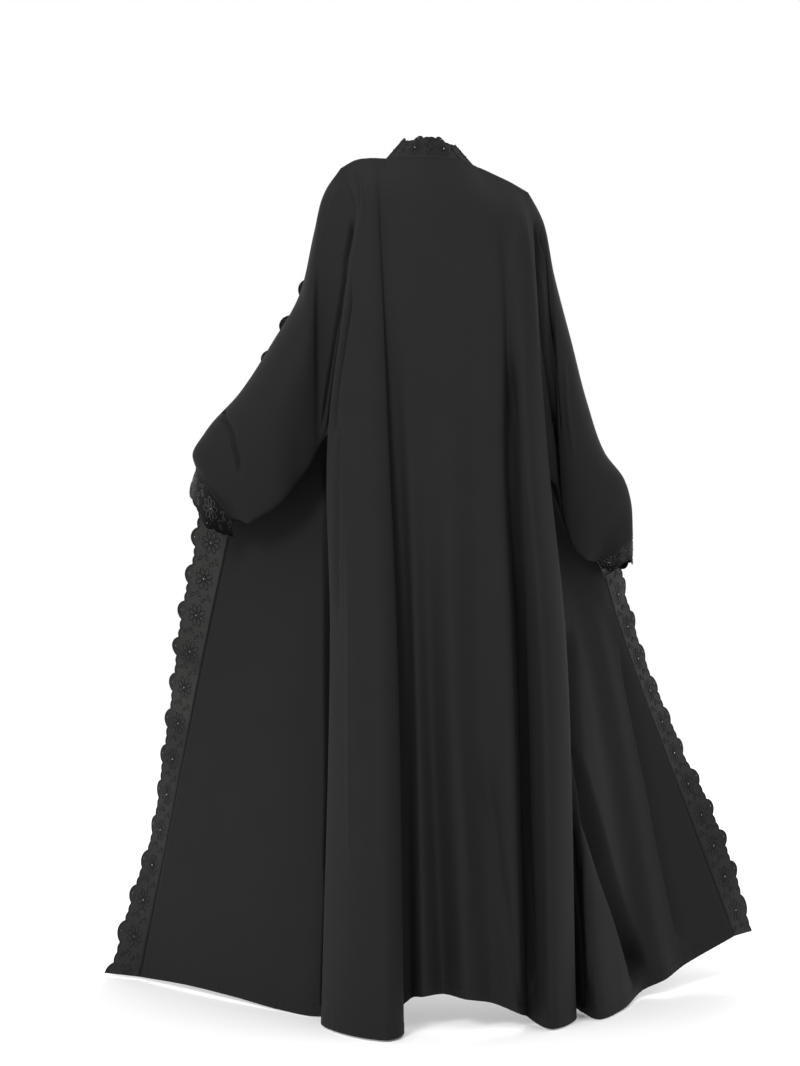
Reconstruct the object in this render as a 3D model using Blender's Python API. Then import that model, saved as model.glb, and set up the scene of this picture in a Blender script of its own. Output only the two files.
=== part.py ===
"""Open-fronted abaya, worn and held spread: cloth panels, wide sleeves and scalloped mesh trims.

The wearer faces -Y and +X is the wearer's left. The origin is at the base of the neck.
Every table gives heights above the floor; built points are measured from the neck base.
"""

import math
from collections import namedtuple

import bpy
import numpy as np

# Driving sizes, in metres.
NECK_HEIGHT = 1.560         # from the floor to the base of the neck
CLOTH_WALL = 0.0016         # crepe panels and sleeves
TRIM_WALL = 0.0012          # mesh trims
SEAM_GAP = 0.0005           # between pieces at every seam
FRONT_TRIM_WIDTH = 0.088    # from the panel's edge to the tip of a lobe
CUFF_TRIM_WIDTH = 0.064
NECK_TRIM_WIDTH = 0.050
PITCH_LEFT = 0.0750         # one round lobe to the next along a trim
PITCH_RIGHT = 0.0695
PITCH_ROUND = 0.071         # near this on the cuffs and the neck
LOBE_SHARE = 0.165          # how far a lobe stands out, as a share of the trim's width
LOBE_HALF = 0.18            # half a lobe's length, as a share of the pitch
RIPPLE_HEIGHT = 0.22        # a ripple between two lobes, against a lobe's height
RIPPLES = 2                 # between two lobes
LOBE_CUTS = (0.0, 0.10, 0.165, 0.18, 0.34, 0.50, 0.66, 0.82, 0.835, 0.90)
LAST_LOBE_LEFT = 0.0        # from the last lobe to the hem, as a share of the pitch
LAST_LOBE_RIGHT = 0.66
LAST_LOBE_ROUND = 0.5       # from the last lobe to a cuff's seam or the neck's corner
LEAST_STEP = 0.002          # between two cuts across a trim
ROWS_TO_UNDERARM = 12       # grid rows from the shoulder seam to the underarm
ROWS_TO_HEM = 12            # grid rows from the underarm to the hem
SLEEVE_STEPS = 15           # rings from armhole to cuff
BACK_STEPS = 2              # grid steps between two fold lines
FRONT_STEPS = 3
TRIM_CUTS = (0.0, 1.0)      # shares of a trim's width that carry points
SHARP_EDGE = math.radians(50.0)
CREPE_BLACK = (0.024, 0.024, 0.024, 1.0)
MESH_BLACK = (0.042, 0.042, 0.040, 1.0)
CREPE_ROUGHNESS = 0.6
MESH_ROUGHNESS = 0.8

# The neck, and how the trim round it stands.
NECK_CENTRE = np.array([0.010, -0.005])
NECK_RISE = np.array([0.45, 0.90])      # in and up: how the cloth reaches the neck's edge
NECK_LEAN_BACK = 0.35                   # inwards for each unit up, behind the neck
NECK_LEAN_SIDE = 0.50                   # the lean that the sides of the neck add
NECK_BLEND = 0.14                       # share of the neck trim that turns to its corner
FRONT_BLEND = 0.11                      # share of a front trim that turns to its corner
CORNER_LEFT = (-0.10, -0.80, 0.60)      # way of both trims at the corner of the neck
CORNER_RIGHT = (0.10, -0.80, 0.60)
PLANE_REACH = 0.006                     # top points this near the shoulder plane move onto it
ON_PLANE = 0.0005

# Distance down the cloth from the shoulder seam to each station.
STATIONS = np.array([0.0, 0.09, 0.22, 0.50, 0.88, 1.58])
UNDERARM = 3

# Shoulder seams and the back of the neck, seen from above: x, y, height.
# The neck opening runs between NECK_LEFT and NECK_RIGHT.
TopPoint = namedtuple("TopPoint", "x y height")
TOP_LINE = (
    TopPoint(0.174, 0.000, 1.573),
    TopPoint(0.150, 0.000, 1.587),
    TopPoint(0.120, 0.000, 1.592),
    TopPoint(0.088, 0.004, 1.591),
    TopPoint(0.060, 0.042, 1.587),
    TopPoint(0.010, 0.062, 1.584),
    TopPoint(-0.040, 0.042, 1.582),
    TopPoint(-0.068, 0.004, 1.580),
    TopPoint(-0.100, 0.000, 1.566),
    TopPoint(-0.140, 0.000, 1.547),
    TopPoint(-0.172, 0.000, 1.528),
)

NECK_LEFT = TOP_LINE[3].x
NECK_RIGHT = TOP_LINE[7].x

# Fold lines of the back, from the wearer's left side seam to the right one.
Fold = namedtuple("Fold", "name top_x yoke_x blade_x blade_y arm_x arm_y thigh_x thigh_y "
                          "hem_x hem_y hem_height")
BACK_FOLDS = (
    Fold("seam_left", 0.174, 0.148, 0.154, 0.100, 0.184, -0.006, 0.168, -0.050, 0.172, -0.050, 0.006),
    Fold("turn_left", 0.166, 0.143, 0.156, 0.112, 0.191, 0.022, 0.186, -0.012, 0.198, -0.012, 0.005),
    Fold("edge_left", 0.158, 0.138, 0.152, 0.124, 0.194, 0.060, 0.192, 0.040, 0.208, 0.040, 0.003),
    Fold("round_left", 0.148, 0.132, 0.142, 0.132, 0.180, 0.108, 0.173, 0.092, 0.172, 0.120, 0.003),
    Fold("crest_left", 0.134, 0.122, 0.124, 0.138, 0.143, 0.138, 0.134, 0.138, 0.112, 0.178, 0.003),
    Fold("front_left", 0.120, 0.112, 0.108, 0.139, 0.108, 0.142, 0.096, 0.146, 0.080, 0.182, 0.003),
    Fold("lip_left", 0.112, 0.106, 0.099, 0.136, 0.087, 0.132, 0.071, 0.124, 0.058, 0.140, 0.006),
    Fold("tuck_left", 0.106, 0.101, 0.098, 0.130, 0.093, 0.112, 0.082, 0.088, 0.070, 0.078, 0.030),
    Fold("dip_left", 0.094, 0.090, 0.086, 0.130, 0.072, 0.114, 0.056, 0.088, 0.048, 0.066, 0.052),
    Fold("ridge_left", 0.066, 0.062, 0.060, 0.134, 0.050, 0.126, 0.038, 0.108, 0.022, 0.092, 0.062),
    Fold("trough_centre", 0.030, 0.026, 0.022, 0.136, 0.018, 0.126, 0.012, 0.100, -0.014, 0.064, 0.062),
    Fold("crest_centre", -0.006, -0.014, -0.020, 0.136, -0.026, 0.132, -0.026, 0.124, -0.054, 0.106, 0.060),
    Fold("trough_right", -0.046, -0.056, -0.062, 0.135, -0.066, 0.126, -0.074, 0.106, -0.104, 0.068, 0.046),
    Fold("dip_right", -0.084, -0.098, -0.108, 0.131, -0.114, 0.116, -0.124, 0.094, -0.134, 0.068, 0.030),
    Fold("tuck_right", -0.112, -0.124, -0.132, 0.126, -0.147, 0.104, -0.163, 0.076, -0.172, 0.020, 0.010),
    Fold("lip_right", -0.120, -0.130, -0.134, 0.130, -0.140, 0.122, -0.152, 0.106, -0.158, 0.052, 0.004),
    Fold("crest_right", -0.136, -0.146, -0.152, 0.128, -0.167, 0.130, -0.188, 0.126, -0.190, 0.086, 0.003),
    Fold("edge_right", -0.152, -0.164, -0.174, 0.116, -0.205, 0.068, -0.236, 0.056, -0.246, 0.004, 0.003),
    Fold("turn_right", -0.162, -0.170, -0.180, 0.104, -0.204, 0.022, -0.232, -0.004, -0.250, -0.052, 0.006),
    Fold("seam_right", -0.172, -0.176, -0.183, 0.092, -0.200, -0.006, -0.210, -0.050, -0.260, -0.100, 0.010),
)
BLADE_HEIGHTS = (1.380, 1.340)      # wearer's left, right
UNDERARM_HEIGHTS = (1.100, 1.020)
THIGH_HEIGHT = 0.720
YOKE_DEPTH_SHARE = 0.70             # of the way out from the shoulder to the blade
YOKE_HEIGHT_SHARE = 0.62            # of the way up from the blade to the shoulder

# Sections of the front panels from the side seam to the front edge: x, y, height.
LeftSection = namedtuple("LeftSection", "station seam turn fold middle outer edge")
FRONT_LEFT = (
    LeftSection("shoulder", (0.174, 0.000, 1.573), (0.150, 0.000, 1.587), (0.120, 0.000, 1.592),
                (0.096, 0.000, 1.590), (0.088, -0.035, 1.578), (0.074, -0.078, 1.545)),
    LeftSection("yoke", (0.168, -0.038, 1.500), (0.148, -0.066, 1.488), (0.126, -0.088, 1.460),
                (0.110, -0.104, 1.436), (0.104, -0.117, 1.434), (0.112, -0.121, 1.452)),
    LeftSection("blade", (0.162, -0.060, 1.380), (0.134, -0.086, 1.355), (0.118, -0.114, 1.320),
                (0.132, -0.136, 1.290), (0.162, -0.147, 1.284), (0.199, -0.154, 1.300)),
    LeftSection("underarm", (0.184, -0.006, 1.100), (0.162, -0.066, 1.072), (0.190, -0.132, 1.030),
                (0.248, -0.174, 0.990), (0.318, -0.210, 0.955), (0.388, -0.240, 0.925)),
    LeftSection("thigh", (0.168, -0.050, 0.720), (0.190, -0.085, 0.718), (0.250, -0.130, 0.715),
                (0.315, -0.185, 0.712), (0.378, -0.240, 0.708), (0.440, -0.290, 0.702)),
    LeftSection("hem", (0.172, -0.050, 0.006), (0.215, -0.032, 0.002), (0.290, -0.095, 0.002),
                (0.385, -0.195, 0.008), (0.485, -0.305, 0.010), (0.588, -0.420, 0.005)),
)
RightSection = namedtuple("RightSection", "station seam turn crest slope trough ridge outer edge")
FRONT_RIGHT = (
    RightSection("shoulder", (-0.172, 0.000, 1.528), (-0.150, 0.000, 1.541), (-0.130, 0.000, 1.552),
                 (-0.112, 0.000, 1.560), (-0.096, 0.000, 1.568), (-0.078, 0.000, 1.575),
                 (-0.072, -0.035, 1.564), (-0.060, -0.078, 1.538)),
    RightSection("yoke", (-0.178, -0.038, 1.460), (-0.160, -0.062, 1.456), (-0.144, -0.080, 1.442),
                 (-0.128, -0.094, 1.426), (-0.114, -0.105, 1.414), (-0.104, -0.114, 1.408),
                 (-0.098, -0.121, 1.416), (-0.102, -0.124, 1.434)),
    RightSection("blade", (-0.182, -0.060, 1.340), (-0.154, -0.080, 1.325), (-0.130, -0.098, 1.300),
                 (-0.120, -0.118, 1.276), (-0.126, -0.134, 1.258), (-0.140, -0.143, 1.250),
                 (-0.156, -0.150, 1.254), (-0.174, -0.156, 1.270)),
    RightSection("underarm", (-0.200, -0.006, 1.020), (-0.176, -0.054, 1.000), (-0.176, -0.098, 0.975),
                 (-0.200, -0.132, 0.945), (-0.230, -0.158, 0.915), (-0.262, -0.182, 0.888),
                 (-0.292, -0.204, 0.865), (-0.322, -0.225, 0.845)),
    RightSection("thigh", (-0.210, -0.050, 0.720), (-0.218, -0.078, 0.718), (-0.240, -0.104, 0.715),
                 (-0.266, -0.142, 0.712), (-0.292, -0.180, 0.708), (-0.322, -0.212, 0.703),
                 (-0.346, -0.248, 0.697), (-0.374, -0.282, 0.690)),
    RightSection("hem", (-0.260, -0.100, 0.010), (-0.279, -0.060, 0.003), (-0.304, -0.010, 0.001),
                 (-0.358, -0.104, 0.003), (-0.408, -0.235, 0.014), (-0.452, -0.262, 0.028),
                 (-0.500, -0.340, 0.044), (-0.608, -0.414, 0.088)),
)

# Sleeve rings from the armhole to the cuff: the outer point, the under point, half the depth.
Ring = namedtuple("Ring", "outer under half_depth")
SLEEVE_LEFT = (
    Ring((0.207, -0.005, 1.520), (0.210, -0.034, 1.068), 0.060),
    Ring((0.223, -0.010, 1.455), (0.226, -0.046, 1.036), 0.064),
    Ring((0.251, -0.030, 1.342), (0.252, -0.060, 1.000), 0.064),
    Ring((0.302, -0.060, 1.257), (0.286, -0.075, 0.958), 0.066),
    Ring((0.367, -0.100, 1.163), (0.330, -0.100, 0.930), 0.060),
    Ring((0.434, -0.135, 1.090), (0.356, -0.118, 0.919), 0.050),
    Ring((0.458, -0.150, 1.048), (0.368, -0.124, 0.925), 0.044),
    Ring((0.452, -0.156, 1.024), (0.384, -0.137, 0.928), 0.040),
)
SLEEVE_RIGHT = (
    Ring((-0.198, -0.005, 1.478), (-0.224, -0.034, 0.985), 0.060),
    Ring((-0.219, -0.012, 1.380), (-0.234, -0.050, 0.942), 0.064),
    Ring((-0.253, -0.035, 1.257), (-0.248, -0.066, 0.902), 0.064),
    Ring((-0.284, -0.065, 1.147), (-0.260, -0.085, 0.875), 0.064),
    Ring((-0.320, -0.095, 1.052), (-0.274, -0.100, 0.860), 0.057),
    Ring((-0.360, -0.125, 1.000), (-0.288, -0.116, 0.850), 0.050),
    Ring((-0.374, -0.146, 0.955), (-0.300, -0.130, 0.847), 0.044),
    Ring((-0.376, -0.156, 0.892), (-0.309, -0.141, 0.846), 0.044),
)
ARM_FULLNESS = 0.55         # a ring is deeper round the arm and flatter where it sags

# How far a front trim is turned from its panel towards the back: share of its length, degrees.
Turn = namedtuple("Turn", "share degrees")
TURNS_LEFT = (
    Turn(0.00, 0.0), Turn(0.09, 12.0), Turn(0.14, 18.0), Turn(0.18, 34.0), Turn(0.24, 18.0),
    Turn(0.31, 20.0), Turn(0.36, 22.0), Turn(0.41, 8.0), Turn(0.46, -3.0), Turn(0.53, 5.0),
    Turn(0.60, 2.0), Turn(0.65, -2.0), Turn(0.71, -8.0), Turn(0.77, -12.0), Turn(0.82, -14.0),
    Turn(0.88, -8.0), Turn(0.94, 6.0), Turn(1.00, 18.0),
)
TURNS_RIGHT = (
    Turn(0.00, 0.0), Turn(0.20, -20.0), Turn(0.42, -20.0), Turn(0.48, -8.0), Turn(0.52, -2.0),
    Turn(0.55, -12.0), Turn(0.62, -17.0), Turn(0.71, -22.0), Turn(0.77, -22.0), Turn(0.82, -12.0),
    Turn(0.94, -16.0), Turn(1.00, -22.0),
)
HEM_LEVEL_SHARE = 0.06      # the last part of a front trim, where it comes level with the hem

# Ways in which a cuff trim leaves its sleeve, at the four quarters of the cuff.
CuffWays = namedtuple("CuffWays", "outer back under front")
CUFF_LEFT = CuffWays((0.23, -0.80, -0.50), (0.28, 0.00, -0.95), (0.02, -0.80, -0.56), (0.15, -0.30, -0.95))
CUFF_RIGHT = CuffWays((-0.06, -0.50, -0.86), (-0.10, -0.70, -0.60), (-0.22, -0.88, -0.28),
                      (-0.10, -0.60, -0.80))


def lowered(points):
    """Points with their height above the floor turned to height above the neck base."""
    moved = np.array(points, dtype=float)
    moved[..., 2] -= NECK_HEIGHT
    return moved


def unit(vectors):
    """Vectors of length one along the last axis."""
    return vectors / np.maximum(np.linalg.norm(vectors, axis=-1, keepdims=True), 1e-12)


def through(knots, rows, at):
    """Points at the given parameters on a smooth cubic that passes each row at its knot."""
    slopes = np.gradient(rows, knots, axis=0)
    span = np.clip(np.searchsorted(knots, at, side="right") - 1, 0, len(knots) - 2)
    shape = (-1,) + (1,) * (rows.ndim - 1)
    width = (knots[span + 1] - knots[span]).reshape(shape)
    t = (at - knots[span]).reshape(shape) / width
    start = (2.0 * t ** 3 - 3.0 * t ** 2 + 1.0) * rows[span]
    start += (t ** 3 - 2.0 * t ** 2 + t) * width * slopes[span]
    end = (3.0 * t ** 2 - 2.0 * t ** 3) * rows[span + 1]
    end += (t ** 3 - t ** 2) * width * slopes[span + 1]
    return start + end


def row_places():
    """Distances down the cloth of every grid row."""
    upper = np.linspace(0.0, STATIONS[UNDERARM], ROWS_TO_UNDERARM + 1)
    lower = np.linspace(STATIONS[UNDERARM], STATIONS[-1], ROWS_TO_HEM + 1)
    return np.concatenate([upper, lower[1:]])


def edge_line(points, rows):
    """A panel's edge: one curve down to the underarm's station, and one on from it."""
    above = rows <= STATIONS[UNDERARM]
    upper = through(STATIONS[:UNDERARM + 1], points[:UNDERARM + 1], rows[above])
    lower = through(STATIONS[UNDERARM:], points[UNDERARM:], rows[~above])
    return np.concatenate([upper, lower])


def panel_grid(net, steps):
    """Grid of a panel from its control net, stations down and fold lines across."""
    rows = row_places()
    lines = through(STATIONS, net, rows)
    for border in (0, -1):
        lines[:, border] = edge_line(net[:, border], rows)
    spacing = np.linalg.norm(np.diff(net, axis=1), axis=2).mean(axis=0)
    knots = np.concatenate([[0.0], np.cumsum(spacing)])
    fold = np.linspace(0.0, len(spacing), steps * len(spacing) + 1)
    at = np.interp(fold, np.arange(len(knots)), knots)
    return through(knots, lines.swapaxes(0, 1), at).swapaxes(0, 1)


def beside_neck(row):
    """Which points of a top row are past the sides of the neck opening."""
    return (row[:, 0] > NECK_LEFT) | (row[:, 0] < NECK_RIGHT)


def level_shoulders(grid, side):
    """Grid with the shoulder seams of its top row in the plane that parts front from back."""
    row = grid[0]
    near = beside_neck(row) & (side * row[:, 1] < PLANE_REACH)
    row[:, 1] = np.where(near, 0.0, row[:, 1])
    return grid


def back_net():
    """Control net of the back: one column for each fold line."""
    top = np.array(TOP_LINE)[::-1]
    net = []
    for fold in BACK_FOLDS:
        side = np.interp(fold.blade_x, (BACK_FOLDS[-1].blade_x, BACK_FOLDS[0].blade_x), (1.0, 0.0))
        top_y = np.interp(fold.top_x, top[:, 0], top[:, 1])
        top_height = np.interp(fold.top_x, top[:, 0], top[:, 2])
        blade_height = np.interp(side, (0.0, 1.0), BLADE_HEIGHTS)
        yoke_y = top_y + YOKE_DEPTH_SHARE * (fold.blade_y - top_y)
        yoke_height = blade_height + YOKE_HEIGHT_SHARE * (top_height - blade_height)
        net.append((
            (fold.top_x, top_y, top_height),
            (fold.yoke_x, yoke_y, yoke_height),
            (fold.blade_x, fold.blade_y, blade_height),
            (fold.arm_x, fold.arm_y, np.interp(side, (0.0, 1.0), UNDERARM_HEIGHTS)),
            (fold.thigh_x, fold.thigh_y, THIGH_HEIGHT),
            (fold.hem_x, fold.hem_y, fold.hem_height),
        ))
    return lowered(np.array(net).swapaxes(0, 1))


def front_net(sections):
    """Control net of a front panel from its table of sections."""
    return lowered([section[1:] for section in sections])


def sleeve_rings(rings, back_edge, front_edge):
    """Sleeve grid: rings down the sleeve, points round it from the shoulder by the back."""
    count = len(back_edge)
    armhole = np.concatenate([back_edge, front_edge[-2:0:-1]])
    angles = []
    for edge, turn in ((back_edge, 0.0), (front_edge[::-1], math.pi)):
        reached = lengths_along(edge)
        angles.append(turn + math.pi * reached / reached[-1])
    angle = np.concatenate([angles[0], angles[1][1:count - 1]])[:, None]
    stations = [armhole]
    for ring in rings:
        outer = lowered(ring.outer)
        under = lowered(ring.under)
        middle = (outer + under) / 2.0
        down = unit(under - outer)
        side = np.array([0.0, 1.0, 0.0]) - down * down[1]
        depth = ring.half_depth * (1.0 + ARM_FULLNESS * np.cos(angle))
        stations.append(middle + (outer - middle) * np.cos(angle) + unit(side) * depth * np.sin(angle))
    stations = np.array(stations)
    spacing = np.linalg.norm(np.diff(stations, axis=0), axis=2).mean(axis=1)
    knots = np.concatenate([[0.0], np.cumsum(spacing)])
    return through(knots, stations, np.linspace(0.0, knots[-1], SLEEVE_STEPS + 1))


def lobed(lobes):
    """Share of the trim's width so many lobes along it: a round lobe, then low ripples."""
    distance = np.abs(lobes - np.round(lobes))
    lobe = np.sqrt(np.maximum(1.0 - (distance / LOBE_HALF) ** 2, 0.0))
    between = np.clip((lobes % 1.0 - LOBE_HALF) / (1.0 - 2.0 * LOBE_HALF), 0.0, 1.0)
    ripple = RIPPLE_HEIGHT * np.abs(np.sin(math.pi * RIPPLES * between))
    return 1.0 - LOBE_SHARE * (1.0 - np.maximum(lobe, ripple))


def rim_faces(border, heights, shift):
    """Triangles between the skins along a border, split alike on both sides of a seam."""
    start = border[:-1]
    end = border[1:]
    falling = (heights[:-1] > heights[1:])[:, None]
    first = np.where(falling, np.stack([start, start + shift, end], axis=-1),
                     np.stack([start, start + shift, end + shift], axis=-1))
    second = np.where(falling, np.stack([start + shift, end + shift, end], axis=-1),
                      np.stack([start, end + shift, end], axis=-1))
    return first.tolist() + second.tolist()


def skin_faces(points, index):
    """Triangles of a skin: every square of the grid, split along its shorter diagonal."""
    square = (index[:-1, :-1], index[1:, :-1], index[1:, 1:], index[:-1, 1:])
    above, below, below_next, above_next = (corner.ravel() for corner in square)
    flat = points.reshape(-1, 3)
    down = np.linalg.norm(flat[below_next] - flat[above], axis=1)
    up = np.linalg.norm(flat[above_next] - flat[below], axis=1)
    rising = (up < down)[:, None]
    first = np.where(rising, np.stack([above, below, above_next], axis=-1),
                     np.stack([above, below, below_next], axis=-1))
    second = np.where(rising, np.stack([below, below_next, above_next], axis=-1),
                      np.stack([above, below_next, above_next], axis=-1))
    return np.concatenate([first, second])


def add_wall(name, points, normals, wall, round_trip):
    """One closed solid: the grid moved out and in by half the wall, with rims at its edges."""
    rows, columns = points.shape[:2]
    outside = points + normals * wall / 2.0
    inside = points - normals * wall / 2.0
    verts = np.concatenate([outside.reshape(-1, 3), inside.reshape(-1, 3)])
    index = np.arange(rows * columns).reshape(rows, columns)
    if round_trip:
        index = np.concatenate([index, index[:, :1]], axis=1)
    skin = skin_faces(points, index)
    shift = rows * columns
    borders = [index[0, ::-1], index[-1, :]]
    if not round_trip:
        borders += [index[:, 0], index[::-1, -1]]
    faces = np.concatenate([skin, skin[:, ::-1] + shift]).tolist()
    for border in borders:
        faces += rim_faces(border, points.reshape(-1, 3)[border, 2], shift)
    mesh = bpy.data.meshes.new(name)
    mesh.from_pydata(verts.tolist(), [], faces)
    mesh.validate()
    mesh.shade_smooth()
    mesh.set_sharp_from_angle(angle=SHARP_EDGE)
    return bpy.data.objects.new(name, mesh)


def round_gradient(points, round_trip):
    """Steps along the rows of a grid; on a round trip the last column leads to the first."""
    if not round_trip:
        return np.gradient(points, axis=1)
    wrapped = np.concatenate([points[:, -1:], points, points[:, :1]], axis=1)
    return np.gradient(wrapped, axis=1)[:, 1:-1]


def surface_normals(points, round_trip):
    """Outward unit normals of a grid whose rows run down and whose columns run to -X."""
    return unit(np.cross(np.gradient(points, axis=0), round_gradient(points, round_trip)))


def across_seam(own, edge, other):
    """Unit way across a seam, halfway between how one piece arrives and the other leaves."""
    return unit(unit(edge - own) + unit(other - edge))


def neck_way(points):
    """Way from the neck's edge into the upstanding trim: up, and a little inwards."""
    inwards = unit(NECK_CENTRE - points[:, :2])
    return unit(np.column_stack([NECK_RISE[0] * inwards, np.full(len(points), NECK_RISE[1])]))


def lengths_along(line):
    """Distance of each point along a polyline from its first point."""
    steps = np.linalg.norm(np.diff(line, axis=0), axis=1)
    return np.concatenate([[0.0], np.cumsum(steps)])


def whole_pitch(length):
    """The pitch near PITCH_ROUND that goes a whole number of times into a length."""
    return length / round(length / PITCH_ROUND)


def trim_places(reached, pitch, last_lobe):
    """Where a trim is cut, at its base line's corners and round its lobes, and its widths."""
    lobes = reached[-1] / pitch - last_lobe
    before = np.arange(-1, math.ceil(lobes) + 1)[:, None]
    places = ((lobes - before + np.array(LOBE_CUTS)) * pitch).ravel()
    places = places[(places > 0.0) & (places < reached[-1])]
    clear = np.abs(places[:, None] - reached).min(axis=1) > LEAST_STEP
    at = np.sort(np.concatenate([reached, places[clear]]))
    return at, lobed(at / pitch - lobes)


def along_line(values, reached, at):
    """Values of a polyline's points, read at distances along it."""
    return np.column_stack([np.interp(at, reached, values[:, axis]) for axis in range(values.shape[1])])


class Piece:
    """A grid of cloth with its normals, and the seams that trim it back."""

    def __init__(self, name, points, wall, round_trip=False):
        self.name = name
        self.points = points.copy()
        self.bare = points
        self.wall = wall
        self.round_trip = round_trip
        self.normals = surface_normals(points, round_trip)
        self.ways = (np.full(points.shape, np.nan), np.full(points.shape, np.nan))

    def sew(self, where, across):
        """Pull an edge back by half a seam gap and square its rim to the way across."""
        fresh = np.isnan(self.ways[0][where][..., :1])
        self.ways[0][where] = np.where(fresh, across, self.ways[0][where])
        self.ways[1][where] = np.where(fresh, self.ways[1][where], across)
        self.points[where] = self.points[where] - across * SEAM_GAP / 2.0

    def square_rims(self):
        """Turn the normals at sewn edges so that both rims of a seam are parallel."""
        along = (np.gradient(self.bare, axis=0), round_gradient(self.bare, self.round_trip))
        first, second = self.ways
        once = ~np.isnan(first[..., 0])
        twice = ~np.isnan(second[..., 0])
        edge_rows = np.zeros_like(once)
        edge_rows[[0, -1], :] = True
        for rows, axis in ((edge_rows, 1), (~edge_rows, 0)):
            chosen = once & rows & ~twice
            self.turn_normals(chosen, np.cross(along[axis][chosen], first[chosen]))
        self.turn_normals(twice, np.cross(first[twice], second[twice]))

    def turn_normals(self, chosen, square):
        """Lay the chosen normals along the given ways, still facing outwards."""
        facing = np.sign((square * self.normals[chosen]).sum(axis=-1, keepdims=True))
        self.normals[chosen] = unit(square) * facing

    def build(self):
        """Blender object of the piece."""
        self.square_rims()
        return add_wall(self.name, self.points, self.normals, self.wall, self.round_trip)


def sew_body(back, left, right):
    """Seams between the three panels: shoulders and sides."""
    above = ROWS_TO_UNDERARM
    side = slice(above, None)
    for panel, back_edge, back_next, front_edge, front_next in (
            (left, 0, 1, -1, -2), (right, -1, -2, 0, 1)):
        across = across_seam(back.bare[side, back_next], back.bare[side, back_edge],
                             panel.bare[side, front_next])
        back.sew((side, back_edge), across)
        panel.sew((side, front_edge), -across)


def sew_shoulders(back, left, right):
    """Seams along the shoulders, in the plane that parts front from back."""
    back_row = back.bare[0]
    way = np.array([0.0, -1.0, 0.0])
    at_neck = np.flatnonzero(~beside_neck(back_row))
    first = at_neck[0]
    last = at_neck[-1]
    back.sew((0, slice(0, first)), np.tile(way, (first, 1)))
    back.sew((0, slice(last + 1, None)), np.tile(way, (len(back_row) - last - 1, 1)))
    neck = slice(first, last + 1)
    back.sew((0, neck), neck_way(back_row[neck]))
    pieces = [None, back_row[neck], None]
    for place, panel in ((0, left), (2, right)):
        row = panel.bare[0]
        shoulder = np.flatnonzero(row[:, 1] > -ON_PLANE)
        front = np.flatnonzero(row[:, 1] <= -ON_PLANE)
        span = slice(shoulder[0], shoulder[-1] + 1)
        panel.sew((0, span), np.tile(-way, (len(shoulder), 1)))
        span = slice(front[0], front[-1] + 1)
        panel.sew((0, span), neck_way(row[span]))
        pieces[place] = row[span]
    return np.concatenate(pieces)


def make_sleeve(name, rings, back, back_edge, back_next, front, front_edge, front_next, mirrored):
    """Sleeve from the armhole that a back and a front panel leave, sewn to both."""
    arm = slice(0, ROWS_TO_UNDERARM + 1)
    grid = sleeve_rings(rings, back.bare[arm, back_edge], front.bare[arm, front_edge])
    first = grid[1]
    count = ROWS_TO_UNDERARM + 1
    back_ring = np.arange(count)
    front_ring = np.concatenate([[0], np.arange(2 * count - 3, count - 2, -1)])
    back_own = back.bare[arm, back_next].copy()
    front_own = front.bare[arm, front_next].copy()
    for own, panel, edge in ((back_own, back, back_edge), (front_own, front, front_edge)):
        own[-1] = panel.bare[count, edge]
    back_way = across_seam(back_own, back.bare[arm, back_edge], first[back_ring])
    front_way = across_seam(front_own, front.bare[arm, front_edge], first[front_ring])
    back.sew((arm, back_edge), back_way)
    front.sew((arm, front_edge), front_way)
    ways = np.concatenate([back_way, front_way[-2:0:-1]])
    if mirrored:
        grid = grid[:, ::-1]
        ways = ways[::-1]
    sleeve = Piece(name, grid, CLOTH_WALL, round_trip=True)
    sleeve.sew((0, slice(None)), -ways)
    return sleeve


def strip(base, ways, widths):
    """Points of a trim: each cut of its width, carried out from its base line."""
    return base + ways * (widths[:, None] * np.array(TRIM_CUTS)[:, None, None])


def front_trim(name, panel, edge, inner, turns, corner, pitch, last_lobe):
    """Lobed trim down a front panel's edge, from the neck to the hem."""
    line = panel.bare[:, edge]
    tangent = unit(np.gradient(line, axis=0))
    out = line - panel.bare[:, inner]
    out = unit(out - tangent * (out * tangent).sum(axis=1, keepdims=True))
    reached = lengths_along(line)
    share = reached / reached[-1]
    angle = np.radians(np.interp(share, [turn.share for turn in turns], [turn.degrees for turn in turns]))
    ways = out * np.cos(angle)[:, None] + panel.normals[:, edge] * np.sin(angle)[:, None]
    level = np.clip((share - 1.0 + HEM_LEVEL_SHARE) / HEM_LEVEL_SHARE, 0.0, 1.0)
    ways[:, 2] *= 1.0 - level
    mix = np.clip(1.0 - share / FRONT_BLEND, 0.0, 1.0)[:, None]
    ways = unit(ways * (1.0 - mix) + unit(np.array(corner)) * mix)
    across = unit(out + ways)
    panel.sew((slice(None), edge), across)
    at, shares = trim_places(reached, pitch, last_lobe)
    base = along_line(line, reached, at)
    way = unit(along_line(ways, reached, at))
    order = slice(None, None, -1) if edge == 0 else slice(None)
    grid = strip(base, way, FRONT_TRIM_WIDTH * shares)[order].swapaxes(0, 1)
    trim = Piece(name, grid, TRIM_WALL)
    trim.sew((slice(None), -1 if edge == 0 else 0), -unit(along_line(across, reached, at)))
    trim.points[0] += tangent[0] * SEAM_GAP
    return trim


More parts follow.
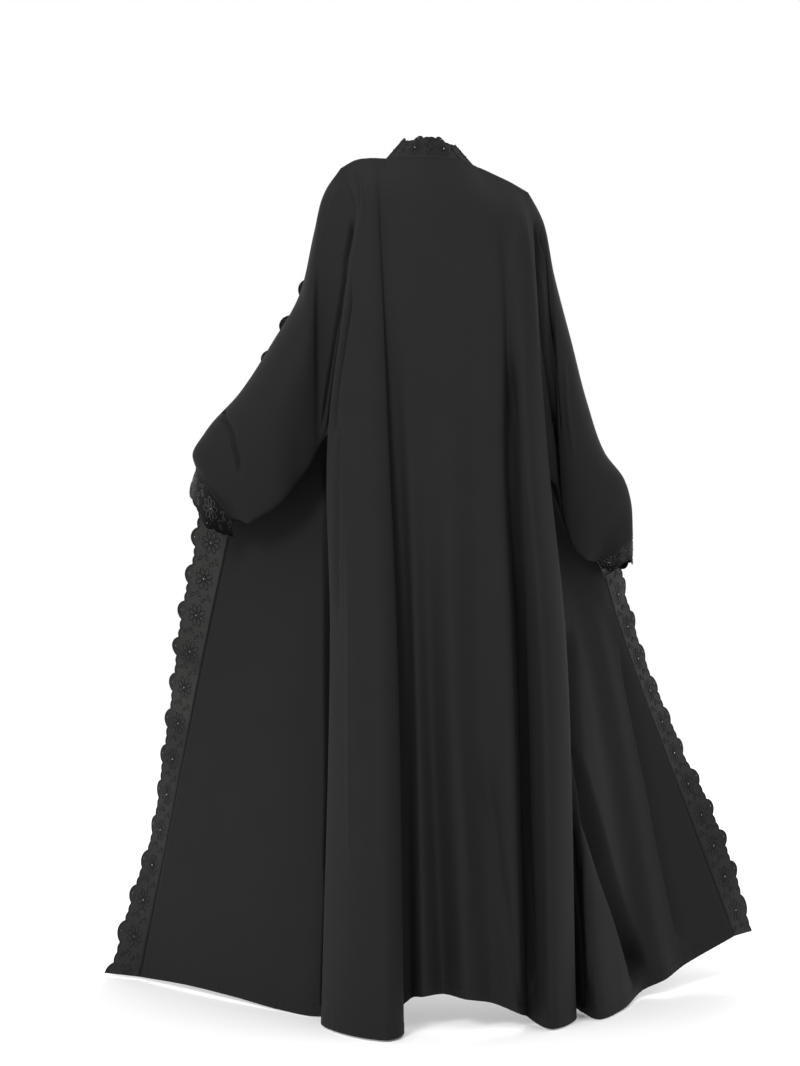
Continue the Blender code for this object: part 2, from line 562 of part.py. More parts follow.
def cuff_trim(name, sleeve, quarters, mirrored):
    """Lobed trim round a cuff, hanging from the sleeve's last ring."""
    ring = sleeve.bare[-1]
    out = unit(ring - sleeve.bare[-2])
    turn = 2.0 * math.pi * np.arange(len(ring)) / len(ring)
    if mirrored:
        turn = 2.0 * math.pi * (len(ring) - 1 - np.arange(len(ring))) / len(ring)
    high = np.cos(turn)[:, None]
    rear = np.sin(turn)[:, None]
    ways = np.maximum(high, 0.0) ** 2 * quarters.outer + np.minimum(high, 0.0) ** 2 * quarters.under
    ways += np.maximum(rear, 0.0) ** 2 * quarters.back + np.minimum(rear, 0.0) ** 2 * quarters.front
    ways = unit(ways)
    across = unit(out + ways)
    sleeve.sew((-1, slice(None)), across)
    closed = np.concatenate([ring, ring[:1]])
    reached = lengths_along(closed)
    at, shares = trim_places(reached, whole_pitch(reached[-1]), LAST_LOBE_ROUND)
    at = at[:-1]
    base = along_line(closed, reached, at)
    closed_ways = np.concatenate([ways, ways[:1]])
    way = unit(along_line(closed_ways, reached, at))
    grid = strip(base, way, CUFF_TRIM_WIDTH * shares[:-1])
    trim = Piece(name, grid, TRIM_WALL, round_trip=True)
    closed_across = np.concatenate([across, across[:1]])
    trim.sew((0, slice(None)), -unit(along_line(closed_across, reached, at)))
    return trim


def neck_trim(name, line, corners):
    """Upstanding scalloped trim round the neck, from one front edge to the other."""
    reached = lengths_along(line)
    share = reached / reached[-1]
    across = neck_way(line)
    inwards = unit(NECK_CENTRE - line[:, :2])
    lean = NECK_LEAN_BACK + NECK_LEAN_SIDE * np.abs(inwards[:, :1])
    ways = unit(np.column_stack([lean * inwards, np.ones(len(line))]))
    for corner, distance in zip(corners, (share, 1.0 - share)):
        mix = np.clip(1.0 - distance / NECK_BLEND, 0.0, 1.0)[:, None]
        ways = unit(ways * (1.0 - mix) + unit(np.array(corner)) * mix)
    at, shares = trim_places(reached, whole_pitch(reached[-1]), LAST_LOBE_ROUND)
    base = along_line(line, reached, at)
    way = unit(along_line(ways, reached, at))
    grid = strip(base, way, NECK_TRIM_WIDTH * shares)[::-1]
    trim = Piece(name, grid, TRIM_WALL)
    trim.sew((-1, slice(None)), -unit(along_line(across, reached, at)))
    ends = unit(np.gradient(base, axis=0))
    trim.points[:, 0] += ends[0] * SEAM_GAP
    trim.points[:, -1] -= ends[-1] * SEAM_GAP
    return trim


def finish(name, sheer):
    """Material of a piece: smooth black crepe, or the greyer black of sheer mesh."""
    material = bpy.data.materials.new(name)
    material.use_nodes = True
    shader = material.node_tree.nodes["Principled BSDF"]
    shader.inputs["Base Color"].default_value = MESH_BLACK if sheer else CREPE_BLACK
    shader.inputs["Roughness"].default_value = MESH_ROUGHNESS if sheer else CREPE_ROUGHNESS
    shader.inputs["Metallic"].default_value = 0.0
    return material


def main():
    """Build every piece of the garment in its own collection."""
    for item in list(bpy.data.objects):
        bpy.data.objects.remove(item, do_unlink=True)
    back_grid = level_shoulders(panel_grid(back_net(), BACK_STEPS), 1.0)
    left_grid = level_shoulders(panel_grid(front_net(FRONT_LEFT), FRONT_STEPS), -1.0)
    right_grid = level_shoulders(panel_grid(front_net(FRONT_RIGHT), FRONT_STEPS), -1.0)
    back = Piece("back", back_grid, CLOTH_WALL)
    left = Piece("front_left", left_grid[:, ::-1], CLOTH_WALL)
    right = Piece("front_right", right_grid, CLOTH_WALL)
    neck_line = sew_shoulders(back, left, right)
    sleeve_left = make_sleeve("sleeve_left", SLEEVE_LEFT, back, 0, 1, left, -1, -2, mirrored=False)
    sleeve_right = make_sleeve("sleeve_right", SLEEVE_RIGHT, back, -1, -2, right, 0, 1, mirrored=True)
    sew_body(back, left, right)
    cloth = [back, left, right, sleeve_left, sleeve_right]
    trims = [
        front_trim("trim_front_left", left, 0, 1, TURNS_LEFT, CORNER_LEFT, PITCH_LEFT, LAST_LOBE_LEFT),
        front_trim("trim_front_right", right, -1, -2, TURNS_RIGHT, CORNER_RIGHT, PITCH_RIGHT,
                   LAST_LOBE_RIGHT),
        cuff_trim("trim_cuff_left", sleeve_left, CUFF_LEFT, mirrored=False),
        cuff_trim("trim_cuff_right", sleeve_right, CUFF_RIGHT, mirrored=True),
        neck_trim("trim_neck", neck_line, (CORNER_LEFT, CORNER_RIGHT)),
    ]
    collection = bpy.data.collections.new("abaya")
    bpy.context.scene.collection.children.link(collection)
    for piece in cloth + trims:
        item = piece.build()
        item.data.materials.append(finish(piece.name, sheer=piece in trims))
        collection.objects.link(item)


main()
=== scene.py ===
"""Worn abaya: crepe panels and sleeves with folds, hems and stitching, and embroidered net trims.

The wearer faces -Y and +X is the wearer's left. The origin is at the base of the neck, and the
tables give heights above the floor.
"""

import logging
import math
from dataclasses import dataclass, field
from enum import Enum
from typing import NamedTuple

import bpy
import numpy as np
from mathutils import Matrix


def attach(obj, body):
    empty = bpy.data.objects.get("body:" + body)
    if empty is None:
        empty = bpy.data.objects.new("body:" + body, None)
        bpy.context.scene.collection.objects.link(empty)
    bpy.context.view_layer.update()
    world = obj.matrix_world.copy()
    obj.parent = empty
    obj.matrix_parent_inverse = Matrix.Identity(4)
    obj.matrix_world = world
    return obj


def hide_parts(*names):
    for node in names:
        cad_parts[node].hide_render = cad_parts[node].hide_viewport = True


LOG = logging.getLogger("abaya")
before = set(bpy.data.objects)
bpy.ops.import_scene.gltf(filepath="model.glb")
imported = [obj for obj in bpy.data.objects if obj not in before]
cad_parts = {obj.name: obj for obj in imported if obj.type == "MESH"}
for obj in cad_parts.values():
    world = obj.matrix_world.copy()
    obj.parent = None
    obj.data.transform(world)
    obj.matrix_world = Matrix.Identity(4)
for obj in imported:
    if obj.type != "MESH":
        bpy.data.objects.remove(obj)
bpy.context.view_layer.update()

Array = np.ndarray
Material = bpy.types.Material
Place = tuple[float, float, float]
Stops = tuple[tuple[float, float], ...]

# Sizes shared with the solids, in metres.
NECK_HEIGHT = 1.560
FRONT_TRIM_WIDTH = 0.088
CUFF_TRIM_WIDTH = 0.064
NECK_TRIM_WIDTH = 0.050
PITCH_LEFT = 0.0750                 # from one lobe of a trim to the next
PITCH_RIGHT = 0.0695
PITCH_ROUND = 0.071
LOBE_SHARE = 0.165                  # how deep the lobes cut into a trim's width
LOBE_HALF = 0.25                    # half a lobe, as a share of the pitch
LOBE_POWER = 0.75
RIPPLE_HEIGHT = 0.22                # ripples between two lobes, as a share of a lobe's height
RIPPLES = 2
CORNER_LEFT = (-0.10, -0.80, 0.60)  # way of the trims at the corners of the neck
CORNER_RIGHT = (0.10, -0.80, 0.60)
STATIONS = np.array([0.0, 0.09, 0.22, 0.50, 0.88, 1.58])
UNDERARM = 3                        # station of the underarm
ROWS_TO_UNDERARM = 12
ROWS_TO_HEM = 12
NECK_CENTRE = np.array([0.010, -0.005])
NECK_LEAN_BACK = 0.35
NECK_LEAN_SIDE = 0.50
NECK_BLEND = 0.14                   # share of a trim's length led into the neck's corner
FRONT_BLEND = 0.11
HEM_LEVEL_SHARE = 0.06              # share of a front trim led level at the hem
PLANE_REACH = 0.006
YOKE_DEPTH_SHARE = 0.70
YOKE_HEIGHT_SHARE = 0.62
ARM_FULLNESS = 0.55
BLADE_HEIGHTS = (1.380, 1.340)
UNDERARM_HEIGHTS = (1.100, 1.020)
THIGH_HEIGHT = 0.720

# Sizes that only the finer cloth here has, in metres.
CLOTH_THICKNESS = 0.0011
NET_THICKNESS = 0.0005
PANEL_LEVELS = 96                   # even grid rows of a panel between neck and hem
SLEEVE_PARTS = 2                    # grid columns of a sleeve for each row of the panels
STITCH_ARCH = 0.0001                # how far a stitch bends
ROW_GAP = 0.0004                    # and the rows of a panel this far
CREASE_STEPS = 7                    # points of a crease's line for each place in its path
WAVE_REACH = 1.2                    # a trim's waves grow no more past this share of its width
WAVE_POWER = 1.6
FRONT_SWAY = 0.0030                 # how far a trim's outer edge waves out
CUFF_SWAY = 0.0016
NECK_SWAY = 0.0010
NECK_CLEAR = 0.0005                 # the neck trim starts this far before the shoulder seams
NECK_STEP = 2e-4                    # its points are at least this far apart
SAME_PLACE = 1e-9
TINY = 1e-12
MM = 1000.0                         # in a metre

# Where one layer of a front trim hangs clear, with painted see-through light in its net: share of its
# length, amount.
PAINTED_SEE_THROUGH_LEFT = ((0.0, 0.1), (0.42, 0.25), (0.455, 0.95), (0.52, 1.0), (0.595, 0.8), (0.607, 0.2),
               (0.617, 0.85), (0.668, 1.0), (0.69, 0.25), (0.78, 0.15), (0.86, 0.2), (0.93, 0.45),
               (1.0, 0.35))
PAINTED_SEE_THROUGH_RIGHT = ((0.0, 0.1), (0.46, 0.2), (0.485, 0.9), (0.545, 0.8), (0.575, 0.2), (0.655, 0.15),
                (0.68, 0.5), (0.71, 0.2), (0.85, 0.1), (1.0, 0.15))


class Half(Enum):
    """Half of the body that a panel hangs on: the way along Y in which it faces."""

    BACK = 1.0
    FRONT = -1.0


class Tube(NamedTuple):
    """Section of a cord or thread: half its width, half its height and its corners."""

    half_width: float
    half_height: float
    sides: int


class Stitch(NamedTuple):
    """Running stitch: from one to the next, its length and its thread."""

    pitch: float
    length: float
    thread: Tube


class Wave(NamedTuple):
    """Wave along a trim: its length, its share of the height, and how its phase swings."""

    length: float
    share: float
    swing: float
    swings: float
    phase: float


class Groove(NamedTuple):
    """Narrow channel in the cloth."""

    depth: float
    width: float


HEM_STITCH = Stitch(0.0042, 0.0029, Tube(0.00032, 0.00026, 4))
TRIM_STITCH = Stitch(0.0040, 0.0028, Tube(0.00030, 0.00024, 4))
FLOWER_CORD = Tube(0.00125, 0.0009, 4)
PETAL_CORD = Tube(0.0009, 0.0008, 4)
EDGE_CORDS = ((0.0011, Tube(0.0014, 0.0011, 6)), (0.0046, Tube(0.0006, 0.0006, 4)))  # inset, cord
WAVES = (Wave(0.23, 0.62, 0.9, 2.0, 0.7), Wave(0.097, 0.38, 1.3, 3.0, 2.1))
SIDE_SEAM = Groove(0.0009, 0.0022)
SHOULDER_SEAM = Groove(0.0007, 0.0022)
HEM_SEAM = Groove(0.0006, 0.0012)
ARMHOLE_SEAM = Groove(0.0009, 0.0024)
CUFF_SEAM = Groove(0.0007, 0.0020)


class TopPoint(NamedTuple):
    """Point of the shoulder seams or the back of the neck."""

    x: float
    y: float
    height: float


class Fold(NamedTuple):
    """Fold line of the back, at the shoulder, yoke, blade, underarm, thigh and hem."""

    name: str
    top_x: float
    yoke_x: float
    blade_x: float
    blade_y: float
    arm_x: float
    arm_y: float
    thigh_x: float
    thigh_y: float
    hem_x: float
    hem_y: float
    hem_height: float


class LeftSection(NamedTuple):
    """Section of the left front, from its side seam to its front edge."""

    station: str
    seam: Place
    turn: Place
    fold: Place
    middle: Place
    outer: Place
    edge: Place


class RightSection(NamedTuple):
    """Section of the right front, from its side seam to its front edge."""

    station: str
    seam: Place
    turn: Place
    crest: Place
    slope: Place
    trough: Place
    ridge: Place
    outer: Place
    edge: Place


class Ring(NamedTuple):
    """Ring of a sleeve: its outer point, its under point and half its depth."""

    outer: Place
    under: Place
    half_depth: float


class Turn(NamedTuple):
    """How far a front trim turns from its panel, at a share of its length."""

    share: float
    degrees: float


class CuffWays(NamedTuple):
    """Ways in which a cuff trim leaves its sleeve, at four quarters of the cuff."""

    outer: Place
    back: Place
    under: Place
    front: Place


def metres(entry: object) -> object:
    """Entry of a table, its millimetres turned to metres however deep they lie."""
    if isinstance(entry, str):
        return entry
    if not isinstance(entry, tuple):
        return entry / MM
    parts = [metres(part) for part in entry]
    return type(entry)(*parts) if hasattr(entry, "_fields") else tuple(parts)


# The tables down to the sleeves are in millimetres.
TOP_LINE = metres((
    TopPoint(174, 0, 1573), TopPoint(150, 0, 1587), TopPoint(120, 0, 1592), TopPoint(88, 4, 1591),
    TopPoint(60, 42, 1587), TopPoint(10, 62, 1584), TopPoint(-40, 42, 1582), TopPoint(-68, 4, 1580),
    TopPoint(-100, 0, 1566), TopPoint(-140, 0, 1547), TopPoint(-172, 0, 1528),
))
NECK_LEFT = TOP_LINE[3].x
NECK_RIGHT = TOP_LINE[7].x

BACK_FOLDS = metres((
    Fold("seam_left", 174, 148, 154, 100, 184, -6, 168, -50, 172, -50, 6),
    Fold("turn_left", 166, 143, 156, 112, 191, 22, 186, -12, 198, -12, 5),
    Fold("edge_left", 158, 138, 152, 124, 194, 60, 192, 40, 208, 40, 3),
    Fold("round_left", 148, 132, 142, 132, 180, 108, 173, 92, 172, 120, 3),
    Fold("crest_left", 134, 122, 124, 138, 143, 138, 134, 138, 112, 178, 3),
    Fold("front_left", 120, 112, 108, 139, 108, 142, 96, 146, 80, 182, 3),
    Fold("lip_left", 112, 106, 99, 136, 87, 132, 71, 124, 58, 140, 6),
    Fold("tuck_left", 106, 101, 98, 130, 93, 112, 82, 88, 70, 78, 30),
    Fold("dip_left", 94, 90, 86, 130, 72, 114, 56, 88, 48, 66, 52),
    Fold("ridge_left", 66, 62, 60, 134, 50, 126, 38, 108, 22, 92, 62),
    Fold("trough_centre", 30, 26, 22, 136, 18, 126, 12, 100, -14, 64, 62),
    Fold("crest_centre", -6, -14, -20, 136, -26, 132, -26, 124, -54, 106, 60),
    Fold("trough_right", -46, -56, -62, 135, -66, 126, -74, 106, -104, 68, 46),
    Fold("dip_right", -84, -98, -112, 133, -119, 122, -135, 108, -155, 72, 26),
    Fold("tuck_right", -112, -122, -128, 125, -133, 98, -150, 66, -173, 22, 10),
    Fold("lip_right", -120, -130, -136, 127, -142, 108, -160, 78, -184, 34, 4),
    Fold("crest_right", -136, -146, -152, 128, -167, 130, -188, 124, -208, 86, 3),
    Fold("edge_right", -152, -164, -174, 116, -205, 68, -236, 56, -258, 4, 3),
    Fold("turn_right", -162, -170, -180, 104, -204, 22, -232, -4, -262, -52, 6),
    Fold("seam_right", -172, -176, -183, 92, -200, -6, -210, -50, -260, -100, 10),
))
FRONT_LEFT = metres((
    LeftSection("shoulder", (174, 0, 1573), (150, 0, 1587), (120, 0, 1592), (96, 0, 1590), (88, -35, 1578),
                (74, -78, 1545)),
    LeftSection("yoke", (168, -38, 1500), (148, -66, 1488), (126, -88, 1460), (110, -104, 1436),
                (104, -117, 1434), (112, -121, 1452)),
    LeftSection("blade", (162, -60, 1380), (134, -86, 1355), (118, -114, 1320), (132, -136, 1290),
                (162, -147, 1284), (199, -154, 1300)),
    LeftSection("underarm", (184, -6, 1100), (162, -66, 1072), (190, -132, 1030), (248, -174, 990),
                (318, -210, 955), (388, -240, 925)),
    LeftSection("thigh", (168, -50, 720), (190, -85, 718), (250, -130, 715), (315, -185, 712),
                (378, -240, 708), (440, -290, 702)),
    LeftSection("hem", (172, -50, 6), (215, -32, 2), (290, -95, 2), (385, -195, 8), (485, -305, 10),
                (588, -420, 5)),
))
FRONT_RIGHT = metres((
    RightSection("shoulder", (-172, 0, 1528), (-150, 0, 1541), (-130, 0, 1552), (-112, 0, 1560),
                 (-96, 0, 1568), (-78, 0, 1575), (-72, -35, 1564), (-60, -78, 1538)),
    RightSection("yoke", (-178, -38, 1460), (-160, -62, 1456), (-144, -80, 1442), (-128, -94, 1426),
                 (-114, -105, 1414), (-104, -114, 1408), (-98, -121, 1416), (-102, -124, 1434)),
    RightSection("blade", (-182, -60, 1340), (-154, -80, 1325), (-130, -98, 1300), (-120, -118, 1276),
                 (-126, -134, 1258), (-140, -143, 1250), (-156, -150, 1254), (-174, -156, 1270)),
    RightSection("underarm", (-200, -6, 1020), (-176, -54, 1000), (-176, -98, 975), (-200, -132, 945),
                 (-230, -158, 915), (-262, -182, 888), (-292, -204, 865), (-322, -225, 845)),
    RightSection("thigh", (-210, -50, 720), (-218, -78, 718), (-240, -104, 715), (-266, -142, 712),
                 (-292, -180, 708), (-322, -212, 703), (-346, -248, 697), (-374, -282, 690)),
    RightSection("hem", (-260, -100, 10), (-279, -60, 3), (-304, -10, 1), (-358, -104, 3), (-408, -235, 14),
                 (-452, -262, 28), (-500, -340, 44), (-608, -414, 88)),
))
SLEEVE_LEFT = metres((
    Ring((207, -5, 1520), (210, -34, 1068), 60),
    Ring((223, -10, 1455), (226, -46, 1036), 64),
    Ring((251, -30, 1342), (252, -60, 1000), 64),
    Ring((302, -60, 1257), (286, -75, 958), 66),
    Ring((367, -100, 1163), (330, -100, 930), 60),
    Ring((434, -135, 1090), (356, -118, 919), 50),
    Ring((458, -150, 1048), (368, -124, 925), 44),
    Ring((452, -156, 1024), (384, -137, 928), 40),
))
SLEEVE_RIGHT = metres((
    Ring((-198, -5, 1478), (-224, -34, 985), 60),
    Ring((-219, -12, 1380), (-234, -50, 942), 64),
    Ring((-253, -35, 1257), (-248, -66, 902), 64),
    Ring((-284, -65, 1147), (-260, -85, 875), 64),
    Ring((-320, -95, 1052), (-274, -100, 860), 57),
    Ring((-360, -125, 1000), (-288, -116, 850), 50),
    Ring((-374, -146, 955), (-300, -130, 847), 44),
    Ring((-376, -156, 892), (-309, -141, 846), 44),
))

TURNS_LEFT = (
    Turn(0, 0), Turn(0.09, 12), Turn(0.14, 18), Turn(0.18, 34), Turn(0.24, 18), Turn(0.31, 20),
    Turn(0.36, 22), Turn(0.41, 8), Turn(0.46, -3), Turn(0.53, 5), Turn(0.6, 2), Turn(0.65, -2),
    Turn(0.71, -8), Turn(0.77, -12), Turn(0.82, -14), Turn(0.88, -8), Turn(0.94, 6), Turn(1, 18),
)
TURNS_RIGHT = (
    Turn(0, 0), Turn(0.2, -20), Turn(0.42, -20), Turn(0.48, -8), Turn(0.52, -2), Turn(0.55, -12),
    Turn(0.62, -17), Turn(0.71, -22), Turn(0.77, -22), Turn(0.82, -12), Turn(0.94, -16), Turn(1, -22),
)
CUFF_LEFT = CuffWays((0.23, -0.8, -0.5), (0.28, 0, -0.95), (0.02, -0.8, -0.56), (0.15, -0.3, -0.95))
CUFF_RIGHT = CuffWays((-0.06, -0.5, -0.86), (-0.1, -0.7, -0.6), (-0.22, -0.88, -0.28), (-0.1, -0.6, -0.8))


# ---------------------------------------------------------------- surfaces worked out with numpy


def lowered(points: object) -> Array:
    """Points with their height above the floor turned to height above the neck base."""
    moved = np.array(points, dtype=float)
    moved[..., 2] -= NECK_HEIGHT
    return moved


def unit(vectors: Array) -> Array:
    """Vectors of length one along the last axis."""
    return vectors / np.maximum(np.linalg.norm(vectors, axis=-1, keepdims=True), TINY)


def smooth(share: Array) -> Array:
    """Smooth step from 0 to 1: three times the share's square less twice its cube."""
    t = np.clip(share, 0.0, 1.0)
    return t * t * (3.0 - 2.0 * t)


def reached_along(line: Array) -> Array:
    """Distance of each point along a polyline from its first point."""
    return np.concatenate([[0.0], np.cumsum(np.linalg.norm(np.diff(line, axis=0), axis=1))])


def shares_along(line: Array) -> Array:
    """Distance of each point along a polyline, as a share of its length."""
    reached = reached_along(line)
    return reached / reached[-1]


def mean_knots(lines: Array) -> Array:
    """Places of lines of points, first to last, at their mean distances apart."""
    spacing = np.linalg.norm(np.diff(lines, axis=0), axis=2).mean(axis=1)
    return np.concatenate([[0.0], np.cumsum(spacing)])


def along_line(values: Array, reached: Array, at: Array) -> Array:
    """Values of a polyline's points, read at distances along it."""
    return np.column_stack([np.interp(at, reached, column) for column in values.T])


def parted(line: Array, parts: int) -> Array:
    """Polyline with every step of it cut into equal parts."""
    at = np.linspace(0.0, len(line) - 1.0, parts * (len(line) - 1) + 1)
    return along_line(line, np.arange(len(line)), at)


def led(ways: Array, corner: Place, share: Array, blend: float) -> Array:
    """Ways led into a corner's own, straight from none at the blend's share to all at 0."""
    mix = np.clip(1.0 - share / blend, 0.0, 1.0)[:, None]
    return unit(ways * (1.0 - mix) + unit(np.array(corner)) * mix)


def through(knots: Array, rows: Array, at: Array) -> Array:
    """Points on a smooth cubic that passes each row at its knot.

    Formula in words: between two knots, the cubic whose ends are the two rows and whose end
    slopes are each row's mean slope to its neighbours.

    Args:
        knots: Parameter of each row.
        rows: Values to pass, one row per knot.
        at: Parameters to read.

    Returns:
        One row for each parameter.
    """
    slopes = np.gradient(rows, knots, axis=0)
    span = np.clip(np.searchsorted(knots, at, side="right") - 1, 0, len(knots) - 2)
    shape = (-1,) + (1,) * (rows.ndim - 1)
    width = (knots[span + 1] - knots[span]).reshape(shape)
    t = (at - knots[span]).reshape(shape) / width
    start = (2.0 * t ** 3 - 3.0 * t ** 2 + 1.0) * rows[span]
    start += (t ** 3 - 2.0 * t ** 2 + t) * width * slopes[span]
    end = (3.0 * t ** 2 - 2.0 * t ** 3) * rows[span + 1]
    end += (t ** 3 - t ** 2) * width * slopes[span + 1]
    return start + end


def surface_normals(points: Array, round_trip: bool = False) -> Array:
    """Outward unit normals of a grid whose rows run down and whose columns run to -X.

    Args:
        points: Points, rows and columns.
        round_trip: The last column leads to the first.

    Returns:
        A normal for each point.
    """
    across = np.gradient(points, axis=1)
    if round_trip:
        wrapped = np.concatenate([points[:, -1:], points, points[:, :1]], axis=1)
        across = np.gradient(wrapped, axis=1)[:, 1:-1]
    return unit(np.cross(np.gradient(points, axis=0), across))


def coarse_rows() -> Array:
    """Distances down the cloth of the solids' grid rows."""
    upper = np.linspace(0.0, STATIONS[UNDERARM], ROWS_TO_UNDERARM + 1)
    lower = np.linspace(STATIONS[UNDERARM], STATIONS[-1], ROWS_TO_HEM + 1)
    return np.concatenate([upper, lower[1:]])


def panel_grid(net: Array, rows: Array, folds: Array) -> Array:
    """Grid of a panel from its control net.

    Formula in words: a smooth cubic down each fold line, in two parts that meet at the
    underarm on the two edges, then a smooth cubic across the fold lines, with knots at their
    mean distances apart.

    Args:
        net: Control points, stations down and fold lines across.
        rows: Distances down the cloth.
        folds: Places across the cloth, counted in fold lines.

    Returns:
        Points, rows down and columns across.
    """
    lines = through(STATIONS, net, rows)
    above = rows <= STATIONS[UNDERARM]
    for part, chosen in ((slice(None, UNDERARM + 1), above), (slice(UNDERARM, None), ~above)):
        for border in (0, -1):
            lines[chosen, border] = through(STATIONS[part], net[part, border], rows[chosen])
    knots = mean_knots(net.swapaxes(0, 1))
    at = np.interp(folds, np.arange(len(knots)), knots)
    return through(knots, lines.swapaxes(0, 1), at).swapaxes(0, 1)


def beside_neck(row: Array) -> Array:
    """Which points of a top row are past the sides of the neck opening."""
    return (row[:, 0] > NECK_LEFT) | (row[:, 0] < NECK_RIGHT)


def level_shoulders(grid: Array, rows: Array, half: Half) -> Array:
    """Grid with its shoulder seams brought into the plane that parts front from back.

    Formula in words: a top point near the plane moves onto it, and the points below it move by
    a share that falls to nothing at the next row of the solids.

    Args:
        grid: Points, rows down and columns across.
        rows: Distances down the cloth.
        half: Half of the body that the grid is on.

    Returns:
        The moved points.
    """
    row = grid[0]
    near = beside_neck(row) & (half.value * row[:, 1] < PLANE_REACH)
    fade = np.clip(1.0 - rows / coarse_rows()[1], 0.0, 1.0)
    moved = grid.copy()
    moved[:, :, 1] += fade[:, None] * np.where(near, -row[:, 1], 0.0)[None, :]
    return moved


def back_net() -> Array:
    """Control net of the back: one column for each fold line."""
    top_x, top_y, top_height = np.array(TOP_LINE)[::-1].T
    net = []
    for fold in BACK_FOLDS:
        side = np.interp(fold.blade_x, (BACK_FOLDS[-1].blade_x, BACK_FOLDS[0].blade_x), (1.0, 0.0))
        y, height = (np.interp(fold.top_x, top_x, values) for values in (top_y, top_height))
        blade, arm = (np.interp(side, (0.0, 1.0), ends) for ends in (BLADE_HEIGHTS, UNDERARM_HEIGHTS))
        yoke = (fold.yoke_x, y + YOKE_DEPTH_SHARE * (fold.blade_y - y),
                blade + YOKE_HEIGHT_SHARE * (height - blade))
        net.append((
            (fold.top_x, y, height),
            yoke,
            (fold.blade_x, fold.blade_y, blade),
            (fold.arm_x, fold.arm_y, arm),
            (fold.thigh_x, fold.thigh_y, THIGH_HEIGHT),
            (fold.hem_x, fold.hem_y, fold.hem_height),
        ))
    return lowered(np.array(net).swapaxes(0, 1))


def sleeve_grid(rings: tuple[Ring, ...], back_edge: Array, front_edge: Array, steps: int) -> Array:
    """Sleeve grid: rings down the sleeve, points round it from the shoulder by the back.

    Formula in words: a ring is an ellipse between its outer and under points, deeper round the
    arm than where it sags, and a smooth cubic runs down the sleeve through every ring.

    Args:
        rings: Table of the sleeve's rings.
        back_edge: Armhole edge of the back, from the shoulder down.
        front_edge: Armhole edge of the front, from the shoulder down.
        steps: Grid steps down the sleeve.

    Returns:
        Points, rings down and columns round.
    """
    angles = []
    for edge, turn in ((back_edge, 0.0), (front_edge[::-1], math.pi)):
        reached = reached_along(edge)
        angles.append(turn + math.pi * reached / reached[-1])
    angle = np.concatenate([angles[0], angles[1][1:-1]])[:, None]
    stations = [np.concatenate([back_edge, front_edge[-2:0:-1]])]
    for ring in rings:
        outer, under = lowered(ring.outer), lowered(ring.under)
        middle = (outer + under) / 2.0
        down = unit(under - outer)
        side = unit(np.array([0.0, 1.0, 0.0]) - down * down[1])
        depth = ring.half_depth * (1.0 + ARM_FULLNESS * np.cos(angle))
        stations.append(middle + (outer - middle) * np.cos(angle) + side * depth * np.sin(angle))
    net = np.array(stations)
    knots = mean_knots(net)
    return through(knots, net, np.linspace(0.0, knots[-1], steps + 1))


def lobed(lobes: Array) -> Array:
    """Share of a trim's width so many lobes along it.

    Formula in words: for each lobe a bell, one less the square of the distance over its half
    width, to a power, and low sine ripples between two.
    """
    distance = np.abs(lobes - np.round(lobes))
    lobe = np.maximum(1.0 - (distance / LOBE_HALF) ** 2, 0.0) ** LOBE_POWER
    between = np.clip((lobes % 1.0 - LOBE_HALF) / (1.0 - 2.0 * LOBE_HALF), 0.0, 1.0)
    ripple = RIPPLE_HEIGHT * np.abs(np.sin(math.pi * RIPPLES * between))
    return 1.0 - LOBE_SHARE * (1.0 - np.maximum(lobe, ripple))


def spread(start: float, end: float, count: int, near_start: float, near_end: float,
           inset: float) -> Array:
    """Places from start to end, closer together over the inset at each end.

    Args:
        start: First place.
        end: Last place.
        count: Number of even steps in the middle.
        near_start: Step in the inset after the start.
        near_end: Step in the inset before the end.
        inset: Length of both insets.

    Returns:
        The places in order.
    """
    first = np.arange(start, start + inset, near_start)
    last = np.arange(end, end - inset, -near_end)[::-1]
    return np.concatenate([first, np.linspace(start + inset, end - inset, count), last])


def stitch_paths(line: Array, normals: Array, height: float, stitch: Stitch) -> tuple[Array, Array]:
    """Short paths for a row of stitches along a line.

    Args:
        line: Points of the line.
        normals: Cloth normal at each point.
        height: How far the stitches stand out from the line.
        stitch: Sizes of a stitch.

    Returns:
        Points and normals, stitches by three by 3.
    """
    reached = reached_along(line)
    middle = np.arange(stitch.pitch, reached[-1] - stitch.pitch, stitch.pitch)
    at = middle[:, None] + np.array([-0.5, 0.0, 0.5]) * stitch.length
    points = along_line(line, reached, at.ravel()).reshape(at.shape + (3,))
    facing = unit(along_line(normals, reached, at.ravel())).reshape(at.shape + (3,))
    rise = height + np.sign(height) * np.array([-STITCH_ARCH, STITCH_ARCH, -STITCH_ARCH])
    return points + facing * rise[None, :, None], facing


# ---------------------------------------------------------------- meshes


def squares(grid: Array) -> Array:
    """The four corners of every square of a grid, turned so that the face looks outwards."""
    return np.stack([grid[:-1, :-1], grid[1:, :-1], grid[1:, 1:], grid[:-1, 1:]], axis=2)


def declare(piece: bpy.types.Object, node: str | None = None) -> bpy.types.Object:
    """Hang a piece from the frame's root, and hide the solid that it stands for."""
    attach(piece, "root")
    if node:
        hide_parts(node)
    return piece


